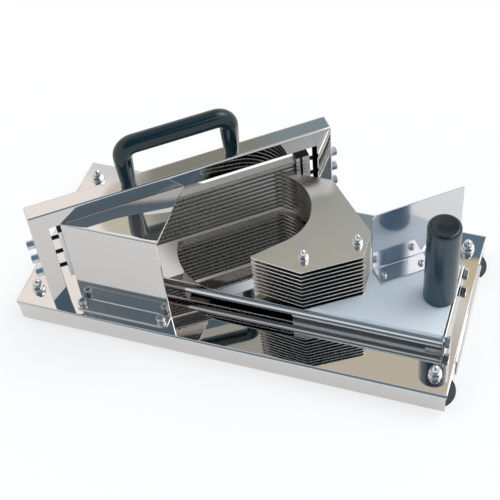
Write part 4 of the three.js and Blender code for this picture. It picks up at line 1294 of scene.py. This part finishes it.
class BuildStudio(bpy.types.Operator):
    """Adds the floor, the soft light and the camera"""
    bl_idname = "slicer.build_studio"
    bl_label = "Studio"

    def execute(self, context):
        scene = context.scene
        half = scene.slicer_studio.floor
        corners = [(-half, -half, 0), (half, -half, 0), (half, half, 0), (-half, half, 0)]
        mesh = bpy.data.meshes.new("floor")
        mesh.from_pydata(corners, [], [(0, 1, 2, 3)])
        mesh.materials.append(floor_paint(scene.slicer_finish.floor))
        floor = bpy.data.objects.new("floor", mesh)
        scene.collection.objects.link(floor)
        self.light(scene)
        self.camera(scene, scene.slicer_studio)
        return {"FINISHED"}

    def light(self, scene):
        """A soft dome with broad panels: each fades in by the angle from its middle."""
        world = scene.world or bpy.data.worlds.new("World")
        scene.world = world
        world.use_nodes = True
        tree = world.node_tree
        tree.nodes.clear()
        where = add_node(tree, "ShaderNodeTexCoord").outputs["Generated"]
        parts = add_node(tree, "ShaderNodeSeparateXYZ", links={"Vector": where})
        ends = {"A": rgba(DOME[0]), "B": rgba(DOME[1])}
        dome = add_node(tree, "ShaderNodeMix", ends, {"Factor": parts.outputs["Z"]}, data_type="RGBA")
        tone = dome.outputs["Result"]
        for azimuth, elevation, full, edge, radiance in PANELS:
            a, e = math.radians(azimuth), math.radians(elevation)
            toward = (math.sin(a) * math.cos(e), math.cos(a) * math.cos(e), math.sin(e))
            near = add_node(tree, "ShaderNodeVectorMath", {1: toward}, {0: where}, operation="DOT_PRODUCT")
            limits = {"From Min": math.cos(math.radians(edge)), "From Max": math.cos(math.radians(full))}
            share = add_node(
                tree, "ShaderNodeMapRange", limits, {"Value": near.outputs["Value"]},
                interpolation_type="SMOOTHSTEP")
            links = {"Factor": share.outputs["Result"], "A": tone}
            panel = add_node(tree, "ShaderNodeMix", {"B": rgba(radiance)}, links, data_type="RGBA")
            tone = panel.outputs["Result"]
        back = add_node(tree, "ShaderNodeBackground", {"Strength": 1.0}, {"Color": tone})
        add_node(tree, "ShaderNodeOutputWorld", links={"Surface": back.outputs["Background"]})

    def camera(self, scene, studio):
        """The view: rows right, up and back turned by the roll; the eye stands where the deck's
        corner has the offset: corner - (rotation transposed) offset."""
        a, e, r = studio.azimuth, studio.elevation, studio.roll
        back = np.array([math.sin(a) * math.cos(e), -math.cos(a) * math.cos(e), math.sin(e)])
        right = np.array([math.cos(a), math.sin(a), 0.0])
        up = np.cross(back, right)
        spin = np.array([[math.cos(r), math.sin(r), 0], [-math.sin(r), math.cos(r), 0], [0, 0, 1]])
        turn = spin @ np.stack([right, up, back])
        pose = np.eye(4)
        pose[:3, :3] = turn.T
        pose[:3, 3] = DECK - turn.T @ np.array(studio.offset)
        data = bpy.data.cameras.new("camera")
        data.sensor_width = SENSOR
        data.lens = studio.focal * SENSOR / FRAME_PIXELS
        data.shift_x = studio.shift
        data.clip_end = 50
        eye = bpy.data.objects.new("camera", data)
        eye.matrix_world = Matrix(pose.tolist())
        scene.collection.objects.link(eye)
        scene.camera = eye
        scene.view_settings.view_transform = "Standard"


class SLICER_PT_panel(bpy.types.Panel):
    """The slicer's pieces and sizes"""
    bl_idname = "SLICER_PT_panel"
    bl_label = "Tomato slicer"
    bl_space_type = "VIEW_3D"
    bl_region_type = "UI"
    bl_category = "Slicer"

    def draw(self, context):
        layout = self.layout
        for operator, group in OPERATORS:
            box = layout.box()
            box.operator(operator.bl_idname)
            self.list_values(box, group)
        box = layout.box()
        box.label(text="Finishes")
        self.list_values(box, "slicer_finish")

    @staticmethod
    def list_values(box, group):
        """One line for each size or colour of a group."""
        for key in GROUPS[group].__annotations__:
            box.prop(getattr(bpy.context.scene, group), key)


GROUPS = {
    "slicer_tray": SLICER_PG_tray,
    "slicer_feet": SLICER_PG_feet,
    "slicer_frame": SLICER_PG_frame,
    "slicer_handle": SLICER_PG_handle,
    "slicer_front_guard": SLICER_PG_front_guard,
    "slicer_rails": SLICER_PG_rails,
    "slicer_board": SLICER_PG_board,
    "slicer_stack": SLICER_PG_stack,
    "slicer_hand_guard": SLICER_PG_hand_guard,
    "slicer_grip": SLICER_PG_grip,
    "slicer_finish": SLICER_PG_finish,
    "slicer_studio": SLICER_PG_studio,
}
OPERATORS = (
    (BuildTray, "slicer_tray"),
    (BuildFeet, "slicer_feet"),
    (BuildBladeFrame, "slicer_frame"),
    (BuildHandle, "slicer_handle"),
    (BuildFrontGuard, "slicer_front_guard"),
    (BuildRails, "slicer_rails"),
    (BuildBoard, "slicer_board"),
    (BuildStack, "slicer_stack"),
    (BuildHandGuard, "slicer_hand_guard"),
    (BuildGrip, "slicer_grip"),
    (BuildStudio, "slicer_studio"),
)


def register():
    """Makes the groups, the operators and the panel known, with a place for each group on the scene."""
    for group in GROUPS.values():
        bpy.utils.register_class(group)
    for key, group in GROUPS.items():
        setattr(bpy.types.Scene, key, PointerProperty(type=group))
    for operator, _ in OPERATORS:
        bpy.utils.register_class(operator)
    bpy.utils.register_class(SLICER_PT_panel)


def unregister():
    """Takes all of it back in the reverse order."""
    bpy.utils.unregister_class(SLICER_PT_panel)
    for operator, _ in reversed(OPERATORS):
        bpy.utils.unregister_class(operator)
    for key, group in reversed(GROUPS.items()):
        delattr(bpy.types.Scene, key)
        bpy.utils.unregister_class(group)


def main():
    """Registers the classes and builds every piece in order."""
    register()
    for operator, _ in OPERATORS:
        group, name = operator.bl_idname.split(".")
        getattr(getattr(bpy.ops, group), name)()


if __name__ == "__main__":
    main()
